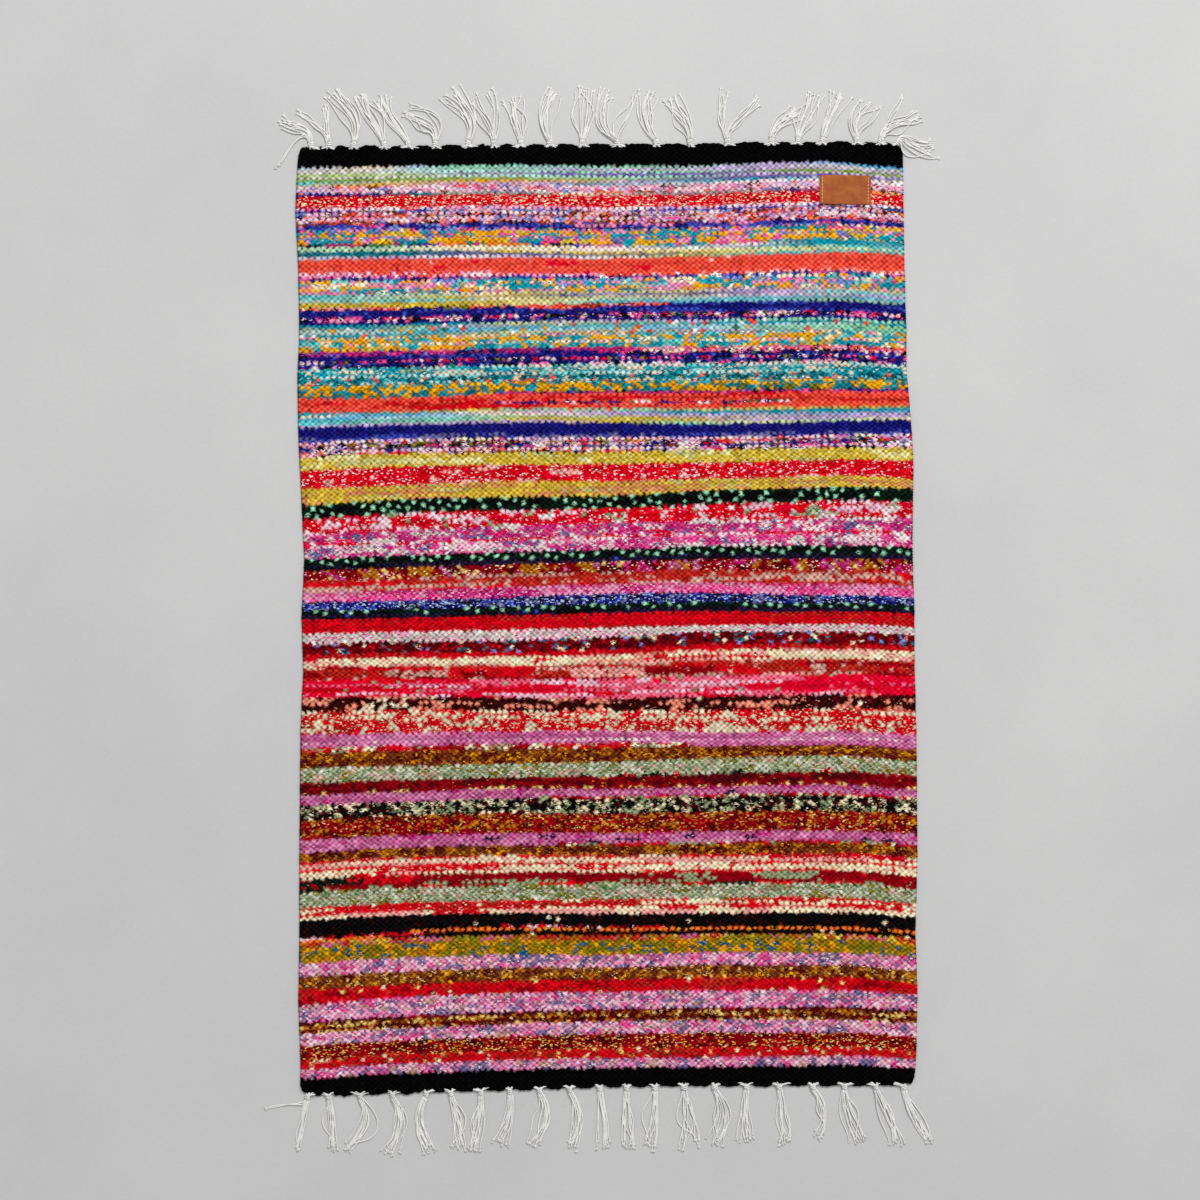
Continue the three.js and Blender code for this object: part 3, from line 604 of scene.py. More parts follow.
def band_height(along):
    """Height of the cloth along it: a rise for each band, with a dip where two bands meet."""
    starts = np.concatenate([[0], BANDS["end"][:-1]])
    crests = (starts + BANDS["end"]) / 2
    seams = np.minimum(BANDS["high"][:-1], BANDS["high"][1:]) - SEAM_DIP
    places = np.concatenate([[0], crests, BANDS["end"][:-1], [MAT_LENGTH]])
    heights = np.concatenate([[HEM_THICK], BANDS["high"], seams, [HEM_THICK]])
    order = np.argsort(places)
    return np.interp(along, places[order], heights[order])


def cloth_height(x, y, along):
    """Height of the cloth's crests: its bands with slow waves, pressed flat under the label."""
    wave_a = np.sin(x / WAVES["across_a"] + along[:, None] / WAVES["along_a"])
    wave_b = np.sin(x / WAVES["across_b"] - along[:, None] / WAVES["along_b"] + WAVES["phase"])
    free = band_height(along)[:, None] + WAVES["height"] * (wave_a + wave_b)
    beyond_x = np.abs(x - LABEL_PLACE["x"]) - LABEL["width"] / 2
    beyond_y = np.abs(y - LABEL_PLACE["along"] + MAT_LENGTH / 2) - LABEL["height"] / 2
    beyond = np.maximum(beyond_x, beyond_y) - LABEL_BED["margin"]
    bed = np.clip(1 - beyond / LABEL_BED["fade"], 0, 1)
    return free + (LABEL_BED["height"] - free) * bed


def float_offsets():
    """Small seeded moves of each float from its even place: along its row, across, and in height."""
    rng = np.random.default_rng(SEED)
    spread = (UNEVEN["along_row"], UNEVEN["across_rows"], UNEVEN["height"])
    return [share * rng.uniform(-1, 1, (ROWS, WARPS)) for share in spread]


FLOAT_OFFSETS = float_offsets()


def weave(u, v):
    """Plain weave at warp u and row v: the tallest of the rounded floats around, 0 to 1 high.

    A float is a half ellipsoid over every second warp, shifted by one warp in every second row.
    Also gives the row and warp of the float that each point lies on.
    """
    along_row, across_rows, height = FLOAT_OFFSETS
    best = np.full(u.shape, -1.0)
    best_row = np.zeros(u.shape, int)
    best_warp = np.zeros(u.shape, int)
    for step in (-1, 0, 1):
        row = np.clip(np.floor(v).astype(int) + step, 0, ROWS - 1)
        parity = row % 2
        warp = 2 * np.round((u - 0.5 - parity) / 2).astype(int) + parity
        warp = np.where(warp < 0, warp + 2, np.where(warp > WARPS - 1, warp - 2, warp))
        du = (u - 0.5 - warp - along_row[row, warp]) / FLOAT["half_length"]
        dv = (v - 0.5 - row - across_rows[row, warp]) / FLOAT["half_width"]
        cap = np.sqrt(np.clip(1 - du**2 - dv**2, 0, 1)) + height[row, warp]
        better = cap > best
        best = np.where(better, cap, best)
        best_row = np.where(better, row, best_row)
        best_warp = np.where(better, warp, best_warp)
    return best, best_row, best_warp


# The cloth's colours

def parse_mix(text):
    """Dyes and their shares, from words such as "red 6 cream 2"."""
    words = text.split()
    dyes = np.array([as_light(DYES[name]) for name in words[::2]])
    return dyes, np.array([float(word) for word in words[1::2]])


def runs(rng, shares, usual):
    """Indices in runs: each run's length is drawn around the usual one, its dye by share."""
    lengths = np.maximum(1, np.round(rng.gamma(RUN_SHAPE, usual / RUN_SHAPE, size=WARPS))).astype(int)
    picks = rng.choice(len(shares), size=WARPS, p=shares / shares.sum())
    return np.repeat(picks, lengths)[:WARPS]


def carried_on(rng, picks):
    """The runs of the row before, with their ends moved by a float or two."""
    knees = np.linspace(0, WARPS, FALL["knees"])
    moves = np.interp(np.arange(WARPS), knees, rng.normal(0, FALL["ragged"], FALL["knees"]))
    source = np.arange(WARPS) + np.round(moves).astype(int)
    return picks[np.clip(source, 0, WARPS - 1)]


def drift_row(rng, dyes):
    """A slow change through the dyes along the row, a little early or late here and there."""
    at = np.linspace(0, len(dyes) - 1, WARPS) + rng.normal(0, UNEVEN_DYE["drift"])
    knees = np.linspace(0, WARPS, UNEVEN_DYE["drift_knees"])
    at = at + np.interp(np.arange(WARPS), knees, rng.normal(0, UNEVEN_DYE["drift"], len(knees)))
    at = np.clip(at, 0, len(dyes) - 1)
    return np.array([np.interp(at, np.arange(len(dyes)), channel) for channel in dyes.T]).T


def add_ticks(rng, colours, row, dye):
    """Dashes of a second dye, one float long, a few warps further on in each next row."""
    place = np.arange(WARPS) + TICKS["step"] * row
    kept = rng.random(WARPS // FLOAT_PITCH + 1) < TICKS["kept"]
    in_dash = place % TICKS["every"] < FLOAT_PITCH
    colours[in_dash & kept[place % WARPS // FLOAT_PITCH]] = as_light(DYES[dye])


def add_specks(rng, colours, text):
    """Single floats of other dyes, each dye with its share of all floats."""
    dyes, shares = parse_mix(text)
    kind = np.searchsorted(np.cumsum(shares), rng.random(WARPS))
    hit = kind < len(dyes)
    colours[hit] = dyes[kind[hit]]


def yarn_row(rng, yarn, row, before):
    """Colours of one row of a yarn. Its runs often follow those of the row before it."""
    picks = None
    if "drift" in yarn:
        colours = drift_row(rng, np.array([as_light(DYES[name]) for name in yarn["drift"].split()]))
    else:
        dyes, shares = parse_mix(yarn["mix"])
        picks = runs(rng, shares, max(yarn["run"] / FALL["pitch"], 1))
        if before is not None and rng.random() < FALL["carry"]:
            picks = carried_on(rng, before)
        loose = rng.choice(len(shares), size=WARPS, p=shares / shares.sum())
        alone = rng.random(WARPS) < yarn.get("loose", FALL["loose"])
        colours = dyes[np.where(alone, loose, picks)]
    if "ticks" in yarn:
        add_ticks(rng, colours, row, yarn["ticks"])
    if "specks" in yarn:
        add_specks(rng, colours, yarn["specks"])
    return colours, picks


def fleck_row(rng, yarn):
    """The fleck of each float and its share, as one red, green, blue and alpha. A yarn without a
    fleck of its own is marled with the dyes of its mix, one of long runs only a little."""
    if "drift" in yarn:
        return np.zeros((WARPS, 4))
    dyes, shares = parse_mix(yarn.get("fleck", yarn["mix"]))
    marl = MARL["marled"] if yarn["run"] < MARL["long_run"] else MARL["plain"]
    share = shares.sum() if "fleck" in yarn else marl
    kind = rng.choice(len(shares), size=WARPS, p=shares / shares.sum())
    return np.concatenate([dyes[kind], np.full((WARPS, 1), share)], axis=1)


def weft_colours():
    """Colour and fleck of every float: rows by warps, from the weaver's plan."""
    rng = np.random.default_rng(SEED + 1)
    weft = np.tile(as_light(DYES["hem"]), (ROWS, WARPS, 1))
    fleck = np.zeros((ROWS, WARPS, 4))
    row = ROWS - FAR_HEM_ROWS - 1
    warp_share = (np.arange(WARPS) + 0.5) / WARPS
    for rows, names, starts in PLAN:
        before = {name: None for name in names}
        for _ in range(rows):
            for name, start in zip(names, starts):
                yarn = YARNS[name]
                colours, before[name] = yarn_row(rng, yarn, row, before[name])
                there = warp_share >= start + rng.normal(0, FALL["join"]) * (start > 0)
                weft[row, there] = colours[there]
                fleck[row, there] = fleck_row(rng, yarn)[there]
            row -= 1
    of_row = rng.normal(0, UNEVEN_DYE["row"], (ROWS, 1, 1))
    of_float = rng.normal(0, UNEVEN_DYE["float"], (ROWS, WARPS, 1))
    return np.clip(weft * np.exp(of_row + of_float), 0, 1), fleck


def scallops(x, end, tassels):
    """How far the hem's last rows stand out between the knots, and not at them."""
    nearest = np.abs(x[..., None] - tassels["root"]).min(axis=-1)
    rng = np.random.default_rng(end["seed"] + SEED)
    knees = np.arange(-SCALLOP["reach"], SCALLOP["reach"], SCALLOP["knees"])
    ragged = np.interp(x, knees, rng.normal(0, SCALLOP["ragged"], len(knees)))
    between = 1 - np.exp(-((nearest / SCALLOP["narrow"]) ** 2))
    return (SCALLOP["depth"] * between + ragged) * end["outward"]


def make_cloth(order, weft, fleck):
    """One length of the cloth, closed: a fine woven top, and a coarser flat underside.

    The top is a grid over warps and rows: place from mat_points, height from cloth_height less
    the weave's depth. The sides are rounded down, and the outer rows of the hems stand out.
    """
    rows_each = ROWS // CLOTH_PIECES
    first = order * rows_each
    u_line = np.arange(0, WARPS * STEPS_PER_CROSSING + 1) / STEPS_PER_CROSSING
    v_line = first + np.arange(0, rows_each * STEPS_PER_CROSSING + 1) / STEPS_PER_CROSSING
    along = v_line / ROWS * MAT_LENGTH
    shares = u_line / WARPS
    x, y = mat_points(shares, along)
    u, v = np.broadcast_to(u_line, x.shape), np.broadcast_to(v_line[:, None], x.shape)
    relief, row, warp = weave(u, v)
    in_hem = (v < NEAR_HEM_ROWS) | (v > ROWS - FAR_HEM_ROWS)
    depth = np.where(in_hem, FLOAT["hem_depth"], FLOAT["depth"])
    crest = cloth_height(x, y, along) + FLOAT["rise"]
    top = crest - depth * (1 - relief)
    to_side = np.minimum(x - x[:, :1], x[:, -1:] - x)
    to_end = np.minimum(along, MAT_LENGTH - along)[:, None]
    to_rim = np.minimum(to_side, to_end)
    rounding = np.sqrt(np.clip(1 - (1 - to_rim / SIDE_ROUNDING) ** 2, 0, 1))
    rounding = np.where(to_rim >= SIDE_ROUNDING, 1, rounding)
    z = SIDE_THICK + (top - SIDE_THICK) * rounding
    for end, tassels in ((NEAR_END, NEAR_TASSELS), (FAR_END, FAR_TASSELS)):
        late = np.clip(1 - np.abs(along - end["along"]) / SCALLOP["fade"], 0, 1)[:, None]
        y = y + late * scallops(x, end, tassels)
    uneven = 1 + SIDE_BULGE["uneven"] * FLOAT_OFFSETS[2][row[:, 0], 0] / UNEVEN["height"]
    bulge = SIDE_BULGE["depth"] * np.abs(np.sin(np.pi * v_line)) * uneven
    x[:, 0] -= bulge
    x[:, -1] += bulge
    points = np.stack([x, y, z], axis=-1)
    piece = closed_sheet(f"cloth_{order + 1}", points)
    below_row, below_warp = row[::COARSE, ::COARSE].ravel(), warp[::COARSE, ::COARSE].ravel()
    all_rows = np.concatenate([row.ravel(), below_row])
    all_warps = np.concatenate([warp.ravel(), below_warp])
    colours = np.concatenate([weft, np.ones((ROWS, WARPS, 1))], axis=-1)
    add_colours(piece, "weft", colours[all_rows, all_warps])
    add_colours(piece, "fleck", fleck[all_rows, all_warps])
    # The relief, each point's height on its float, drives the painted shade between the floats and the
    # painted highlight on their crests; the underside has none
    add_values(piece, "relief", np.concatenate([relief.ravel(), np.ones(len(below_row))]))
    return piece


def closed_sheet(name, top):
    """A closed body: a grid of points on top, every COARSE-th of them flat on the floor below, and
    a wall of triangles from each fine edge of the rim to the nearest coarse point."""
    rows, columns = top.shape[:2]
    low = top[::COARSE, ::COARSE].copy()
    low[..., 2] = 0
    low[:, 0, 0] += UNDERSIDE_INSET
    low[:, -1, 0] -= UNDERSIDE_INSET
    low_rows, low_columns = low.shape[:2]
    start = rows * columns
    top_faces = grid_faces(rows, columns)
    low_faces = grid_faces(low_rows, low_columns, start)[:, ::-1]
    fine = rim_loop(rows, columns)
    coarse = start + rim_loop(low_rows, low_columns)
    order = np.arange(len(fine))
    fine_next = np.roll(fine, -1)
    below = np.roll(coarse, -1)
    owner = ((order + COARSE // 2) // COARSE) % len(coarse)
    fans = np.stack([fine_next, fine, coarse[owner]], axis=1)
    middles = fine[(np.arange(len(coarse)) * COARSE + COARSE // 2) % len(fine)]
    joins = np.stack([coarse, below, middles], axis=1)
    points = np.concatenate([top.reshape(-1, 3), low.reshape(-1, 3)])
    return make_mesh(name, points, [*top_faces, *low_faces, *fans, *joins])


def rim_loop(rows, columns):
    """A grid's rim as one loop of indices, anticlockwise seen from above."""
    index = np.arange(rows * columns).reshape(rows, columns)
    sides = (index[0, :-1], index[:-1, -1], index[-1, :0:-1], index[:0:-1, 0])
    return np.concatenate(sides)


# Yarn

def tube_rings(paths, radius, sides, twist, lobes):
    """Rings of points round many paths at once: (yarns, steps, sides, 3).

    The section is two round plies side by side, turned steadily along the path by its length.
    """
    ahead = np.gradient(paths, axis=1)
    length = np.linalg.norm(ahead, axis=-1, keepdims=True)
    ahead = ahead / np.maximum(length, TINY)
    run = np.cumsum(length[..., 0], axis=1)
    up = np.broadcast_to([0.0, 0.0, 1.0], ahead.shape)
    aside = np.cross(ahead, up)
    aside /= np.maximum(np.linalg.norm(aside, axis=-1, keepdims=True), TINY)
    up = np.cross(aside, ahead)
    around = np.arange(sides) / sides * 2 * np.pi
    turn = run / twist * 2 * np.pi
    lobe = 1 - lobes * np.abs(np.sin(around[None, None, :] - turn[..., None]))
    reach = (radius * lobe)[..., None]
    across = np.cos(around)[None, None, :, None] * aside[:, :, None, :]
    over = np.sin(around)[None, None, :, None] * up[:, :, None, :]
    return paths[:, :, None, :] + reach * (across + over)


def tube_faces(yarns, steps, sides, start=0):
    """Quads round and along each tube, with one flat face as a cap at both ends."""
    index = start + np.arange(yarns * steps * sides).reshape(yarns, steps, sides)
    beside = np.roll(index, -1, axis=2)
    corners = (index[:, :-1], beside[:, :-1], beside[:, 1:], index[:, 1:])
    walls = np.stack([corner.ravel() for corner in corners], axis=1)
    first = index[:, 0, ::-1]
    last = index[:, -1]
    return [*walls, *first, *last]


class Bundle:
    """Gathers tubes of many yarns into one mesh."""

    def __init__(self):
        self.points = []
        self.faces = []
        self.count = 0

    def add(self, paths, radius, sides, twist, lobes=YARN["lobes"]):
        rings = tube_rings(paths, radius, sides, twist, lobes)
        yarns, steps = paths.shape[:2]
        self.faces += tube_faces(yarns, steps, sides, self.count)
        self.points.append(rings.reshape(-1, 3))
        self.count += yarns * steps * sides


def right_of(heading, end):
    """The direction at right angles to a heading, to the right of the mat."""
    return np.array([heading[1], -heading[0]]) * end["outward"]


def unit(vector):
    """The vector at a length of one."""
    return vector / np.linalg.norm(vector)


def tassel_root(tassel, end):
    """Where a tassel is rooted at the hem's edge, and the way its knot points."""
    place = np.array([tassel["root"], end_edge_y(end, tassel["root"]) + end["outward"] * LIE["out"]])
    to_tip = unit(np.array([tassel["lean"], end["outward"] * tassel["out"]]))
    outward = np.array([0, end["outward"]])
    heading = outward + (to_tip - outward) * LIE["knot_turn"]
    heading = heading + LIE["bulge_turn"] * tassel["bow"] * right_of(to_tip, end)
    return place, unit(heading)


def tip_path(place, heading, tip, end, shares):
    """Middle line of a tassel: a cubic curve from inside the knot to the tip. Points and headings."""
    to_tip = np.array([tip["lean"], end["outward"] * tip["out"]])
    finish = place + to_tip
    bulge = LIE["bulge_pull"] * tip["bow"] * right_of(unit(to_tip), end)
    begin = place + LIE["begin"] * heading
    leave = begin + LIE["curve_pull"] * np.linalg.norm(to_tip) * heading + bulge
    arrive = finish - LIE["curve_pull"] * to_tip + bulge
    s = shares[..., None]
    r = 1 - s
    points = r**3 * begin + 3 * r**2 * s * leave + 3 * r * s**2 * arrive + s**3 * finish
    slope = 3 * r**2 * (leave - begin) + 6 * r * s * (arrive - leave) + 3 * s**2 * (finish - arrive)
    return points, slope / np.linalg.norm(slope, axis=-1, keepdims=True)


def yarn_paths(rng, place, heading, tip, count, end, spread):
    """The yarns of a tassel: beside its middle line in two loose layers, crossing and curling a
    little more towards the tips, which lie on the floor."""
    lengths = 1 - rng.uniform(0, LOOSE["short"], (count, 1))
    shares = np.linspace(0, 1, YARN["steps"])[None, :] * lengths
    middle, ahead = tip_path(place, heading, tip, end, shares)
    aside = np.stack([ahead[..., 1], -ahead[..., 0]], axis=-1) * end["outward"]
    order = np.arange(count) - (count - 1) / 2
    at_root = order / max(count, 2) * BUNDLE["width"]
    at_tip = rng.permutation(order) * BUNDLE["swapped"] + order * (1 - BUNDLE["swapped"])
    at_tip = at_tip / max(count, 2) * spread
    fan = (shares / lengths) ** BUNDLE["fan"]
    offset = at_root[:, None] + (at_tip - at_root)[:, None] * fan
    phase = rng.uniform(0, 2 * np.pi, (count, 1))
    waves = rng.uniform(*LOOSE["waves"], (count, 1))
    reach = rng.uniform(*LOOSE["curl"], (count, 1))
    curl = reach * fan * np.sin(2 * np.pi * waves * shares + phase)
    strays = rng.random((count, 1)) < LOOSE["stray"]
    bulge = strays * rng.uniform(*LOOSE["stray_curl"], (count, 1)) * rng.choice([-1, 1], size=(count, 1))
    arc = np.clip(np.sin(np.pi * shares / lengths), 0, 1) ** STRAY_FULLNESS
    offset = offset + curl + bulge * arc
    flat = middle + offset[..., None] * aside
    radius = YARN["radius"]
    layer = (np.arange(count) % PILE["layers"])[:, None] * PILE["layer"] * radius * (1 - fan)
    lift = rng.uniform(0, PILE["lift"], (count, 1)) * np.sin(np.pi * shares) * radius
    z = radius + layer + PILE["at_knot"] * (1 - fan) ** PILE["fall"] + lift * PILE["lift_share"]
    return np.concatenate([flat, z[..., None]], axis=-1)


def fray(rng, paths):
    """Hairs at the cut end of each yarn: short arcs that splay from its last direction."""
    count = len(paths)
    ahead = np.repeat(paths[:, -1] - paths[:, -3], FRAY["hairs"], axis=0)
    ahead = ahead / np.linalg.norm(ahead, axis=1, keepdims=True)
    end_points = np.repeat(paths[:, -1], FRAY["hairs"], axis=0) - FRAY["back"] * ahead
    aside = np.stack([ahead[:, 1], -ahead[:, 0], np.zeros(len(ahead))], axis=1)
    turn = rng.normal(0, FRAY["splay"], (count * FRAY["hairs"], 1))
    length = FRAY["length"] * rng.uniform(*HAIR["uneven"], (count * FRAY["hairs"], 1))
    steps = np.linspace(0, 1, HAIR["steps"])[None, :, None]
    along = length[:, None] * steps
    lines = end_points[:, None] + ahead[:, None] * along + aside[:, None] * (turn[:, None] * along * steps)
    low = rng.uniform(*FRAY["low"], (len(lines), 1))
    start = end_points[:, None, 2]
    lines[..., 2] = start + (low - start) * steps[..., 0] ** HAIR["droop"]
    return lines


def knot_paths(rng, place, heading, end):
    """Two yarns wound round the tassel's neck: a flattened helix along the heading."""
    wraps = []
    wide = rng.uniform(*KNOT["wide"])
    for start in (0, np.pi):
        s = np.linspace(0, 1, KNOT_FORM["steps"])
        turn = start + s * KNOT["half_turns"] * np.pi
        swell = KNOT_FORM["ends"] + (1 - KNOT_FORM["ends"]) * np.sin(np.pi * s) ** KNOT_FORM["fullness"]
        reach = KNOT["from"] + (KNOT["to"] - KNOT["from"]) * s
        aside = wide * swell * np.cos(turn)
        z = KNOT["high"] * (1 + swell * np.sin(turn)) * KNOT_FORM["flat"] + KNOT_FORM["lift"]
        flat = place + reach[:, None] * heading + aside[:, None] * right_of(heading, end)
        wraps.append(np.concatenate([flat, z[:, None]], axis=1))
    return np.array(wraps)


def lead_in_paths(rng, place, heading, end, count):
    """The warp ends on their way along the hem's edge, from both sides, and down into the knot."""
    side = np.where(np.arange(count) % 2 == 0, -1, 1)
    reach = np.where(side < 0, rng.uniform(*LEAD_IN["reach"]), rng.uniform(*LEAD_IN["reach"]))
    start_x = place[0] + side * reach * rng.uniform(*LEAD_IN["share"], count)
    start_x = np.clip(start_x, SIDES["left"][0] + CORNER_RADIUS, SIDES["right"][-1] - CORNER_RADIUS)
    start_y = end_edge_y(end, start_x) - rng.uniform(*LEAD_IN["inside"], count) * end["outward"]
    s = np.linspace(0, 1, LEAD_IN_RISE["steps"])
    knot = place + LEAD_IN_RISE["into_knot"] * heading
    x = start_x[:, None] + (knot[0] - start_x)[:, None] * s
    y = start_y[:, None] + (knot[1] - start_y)[:, None] * s ** LEAD_IN["bend"]
    uneven = rng.uniform(-LEAD_IN_RISE["uneven"], LEAD_IN_RISE["uneven"], (count, 1))
    z = LEAD_IN_RISE["high"] + LEAD_IN_RISE["arch"] * np.sin(np.pi * s)[None, :] + uneven
    return np.stack([x, y, z], axis=-1)


def neck_paths(place, heading, paths):
    """The yarns inside the knot, from its start to where the loose yarns begin."""
    s = np.linspace(0, 1, NECK["steps"])[None, :, None]
    start = np.append(place + NECK["from"] * heading, KNOT["high"])
    return start + (paths[:, :1] - start) * s


def make_fringe(name, tassels, end):
    """A fringe of loose yarns in knotted tassels along one end of the mat, as one mesh."""
    rng = np.random.default_rng(end["seed"])
    yarns = Bundle()
    for order in range(len(tassels["root"])):
        tassel = {column: values[order] for column, values in tassels.items()}
        place, heading = tassel_root(tassel, end)
        forked = round(tassel["forked"] / FORK_SHARES * YARN["count"])
        fork = {"lean": tassel["fork_lean"], "out": tassel["fork_out"], "bow": tassel["fork_bow"]}
        groups = [(tassel, YARN["count"] - forked)]
        if forked:
            groups.append((fork, forked))
        for tip, count in groups:
            spread = end["spread"] * tassel["spread"] * count / YARN["count"] + BUNDLE["least_spread"]
            paths = yarn_paths(rng, place, heading, tip, count, end, spread)
            yarns.add(paths, YARN["radius"], YARN["sides"], YARN["twist"])
            neck = neck_paths(place, heading, paths)
            yarns.add(neck, YARN["radius"], YARN["sides"], YARN["twist"])
            yarns.add(fray(rng, paths), FRAY["radius"], HAIR["sides"], YARN["twist"], lobes=0)
        yarns.add(knot_paths(rng, place, heading, end), KNOT["yarn"], KNOT_FORM["sides"], YARN["twist"])
        lead_in = lead_in_paths(rng, place, heading, end, YARN["count"])
        yarns.add(lead_in, LEAD_IN["radius"], LEAD_IN_RISE["sides"], YARN["twist"])
    points = np.concatenate(yarns.points)
    points[:, 2] = np.maximum(points[:, 2], 0)
    return make_mesh(name, points, yarns.faces)


# The label

def make_label():
    """The leather patch: a slab with rounded corners, whose edge is rounded over by a quarter
    circle and whose face is dented along the stitches."""
    half_width, half_height = LABEL["width"] / 2, LABEL["height"] / 2
    across, up = np.meshgrid(*(np.linspace(-1, 1, count) for count in LABEL_GRID))
    x = half_width * across
    y = half_height * up
    over_x = np.maximum(np.abs(x) - (half_width - LABEL["corner"]), 0)
    over_y = np.maximum(np.abs(y) - (half_height - LABEL["corner"]), 0)
    reach = np.maximum(np.hypot(over_x, over_y), TINY)
    square = np.maximum(over_x, over_y)
    pull = np.where((over_x > 0) & (over_y > 0), square / reach, 1)
    x = np.sign(x) * (np.minimum(np.abs(x), half_width - LABEL["corner"]) + over_x * pull)
    y = np.sign(y) * (np.minimum(np.abs(y), half_height - LABEL["corner"]) + over_y * pull)
    edge = np.minimum(half_width - half_width * np.abs(across), half_height - half_height * np.abs(up))
    inward = np.minimum(edge, LABEL["edge_round"]) / LABEL["edge_round"]
    round_over = np.sqrt(np.clip(1 - (1 - inward) ** 2, 0, 1))
    from_stitches = (np.abs(x) - STITCHES["from_middle"]) / STITCH_DENT["width"]
    dent = STITCH_DENT["depth"] * np.exp(-(from_stitches**2))
    z = LABEL["flank"] * LABEL["thick"] + (1 - LABEL["flank"]) * LABEL["thick"] * round_over - dent
    base = LABEL_BED["height"] + LABEL_LIFT
    top = placed_on_label(x, y, z + base)
    bottom = placed_on_label(x * LABEL_BACK[0], y * LABEL_BACK[1], np.full_like(x, base))
    rows, columns = x.shape
    start = rows * columns
    rim = rim_loop(rows, columns)
    walls = np.stack([np.roll(rim, -1), rim, rim + start, np.roll(rim, -1) + start], axis=1)
    faces = [*grid_faces(rows, columns), *grid_faces(rows, columns, start)[:, ::-1], *walls]
    return make_mesh("leather_label", np.concatenate([top.reshape(-1, 3), bottom.reshape(-1, 3)]), faces)


def placed_on_label(x, y, z):
    """Turns and moves points from the label's own middle to its place on the mat."""
    cos, sin = math.cos(LABEL_PLACE["turn"]), math.sin(LABEL_PLACE["turn"])
    across = LABEL_PLACE["x"] + x * cos - y * sin
    along = LABEL_PLACE["along"] - MAT_LENGTH / 2 + x * sin + y * cos
    return np.stack([across, along, z + np.zeros_like(x)], axis=-1)


def make_label_stitches():
    """Short arcs of thread along both short sides, each diving into the leather at its ends."""
    thread = Bundle()
    s = np.linspace(0, 1, STITCH_ARC["steps"])
    lines = []
    for side in (-1, 1):
        for order in range(STITCHES["count"]):
            middle = (order - (STITCHES["count"] - 1) / 2) * STITCHES["pitch"]
            y = middle + (s - 0.5) * STITCHES["length"]
            x = np.full_like(y, side * STITCHES["from_middle"]) + STITCH_ARC["slant"] * (s - 0.5)
            face = LABEL_BED["height"] + LABEL_LIFT + LABEL["thick"]
            arc = STITCH_ARC["rise"] * np.sin(np.pi * s) ** STITCH_ARC["fullness"]
            z = face - STITCH_ARC["sunk"] + arc
            lines.append(placed_on_label(x, y, z))
    thread.add(np.array(lines), STITCHES["radius"], STITCH_ARC["sides"], STITCHES["twist"])
    return make_mesh("label_stitches", np.concatenate(thread.points), thread.faces)


# Materials

UNDYED = ((0.80, 0.795, 0.78), (0.90, 0.895, 0.88))
TAN = ((0.31, 0.07, 0.016), (0.47, 0.135, 0.035))
THREAD = ((0.70, 0.46, 0.16), (0.90, 0.66, 0.32))
FLOOR = ((0.565, 0.565, 0.57), (0.625, 0.625, 0.628))
SHEEN_ROUGHNESS = 0.6


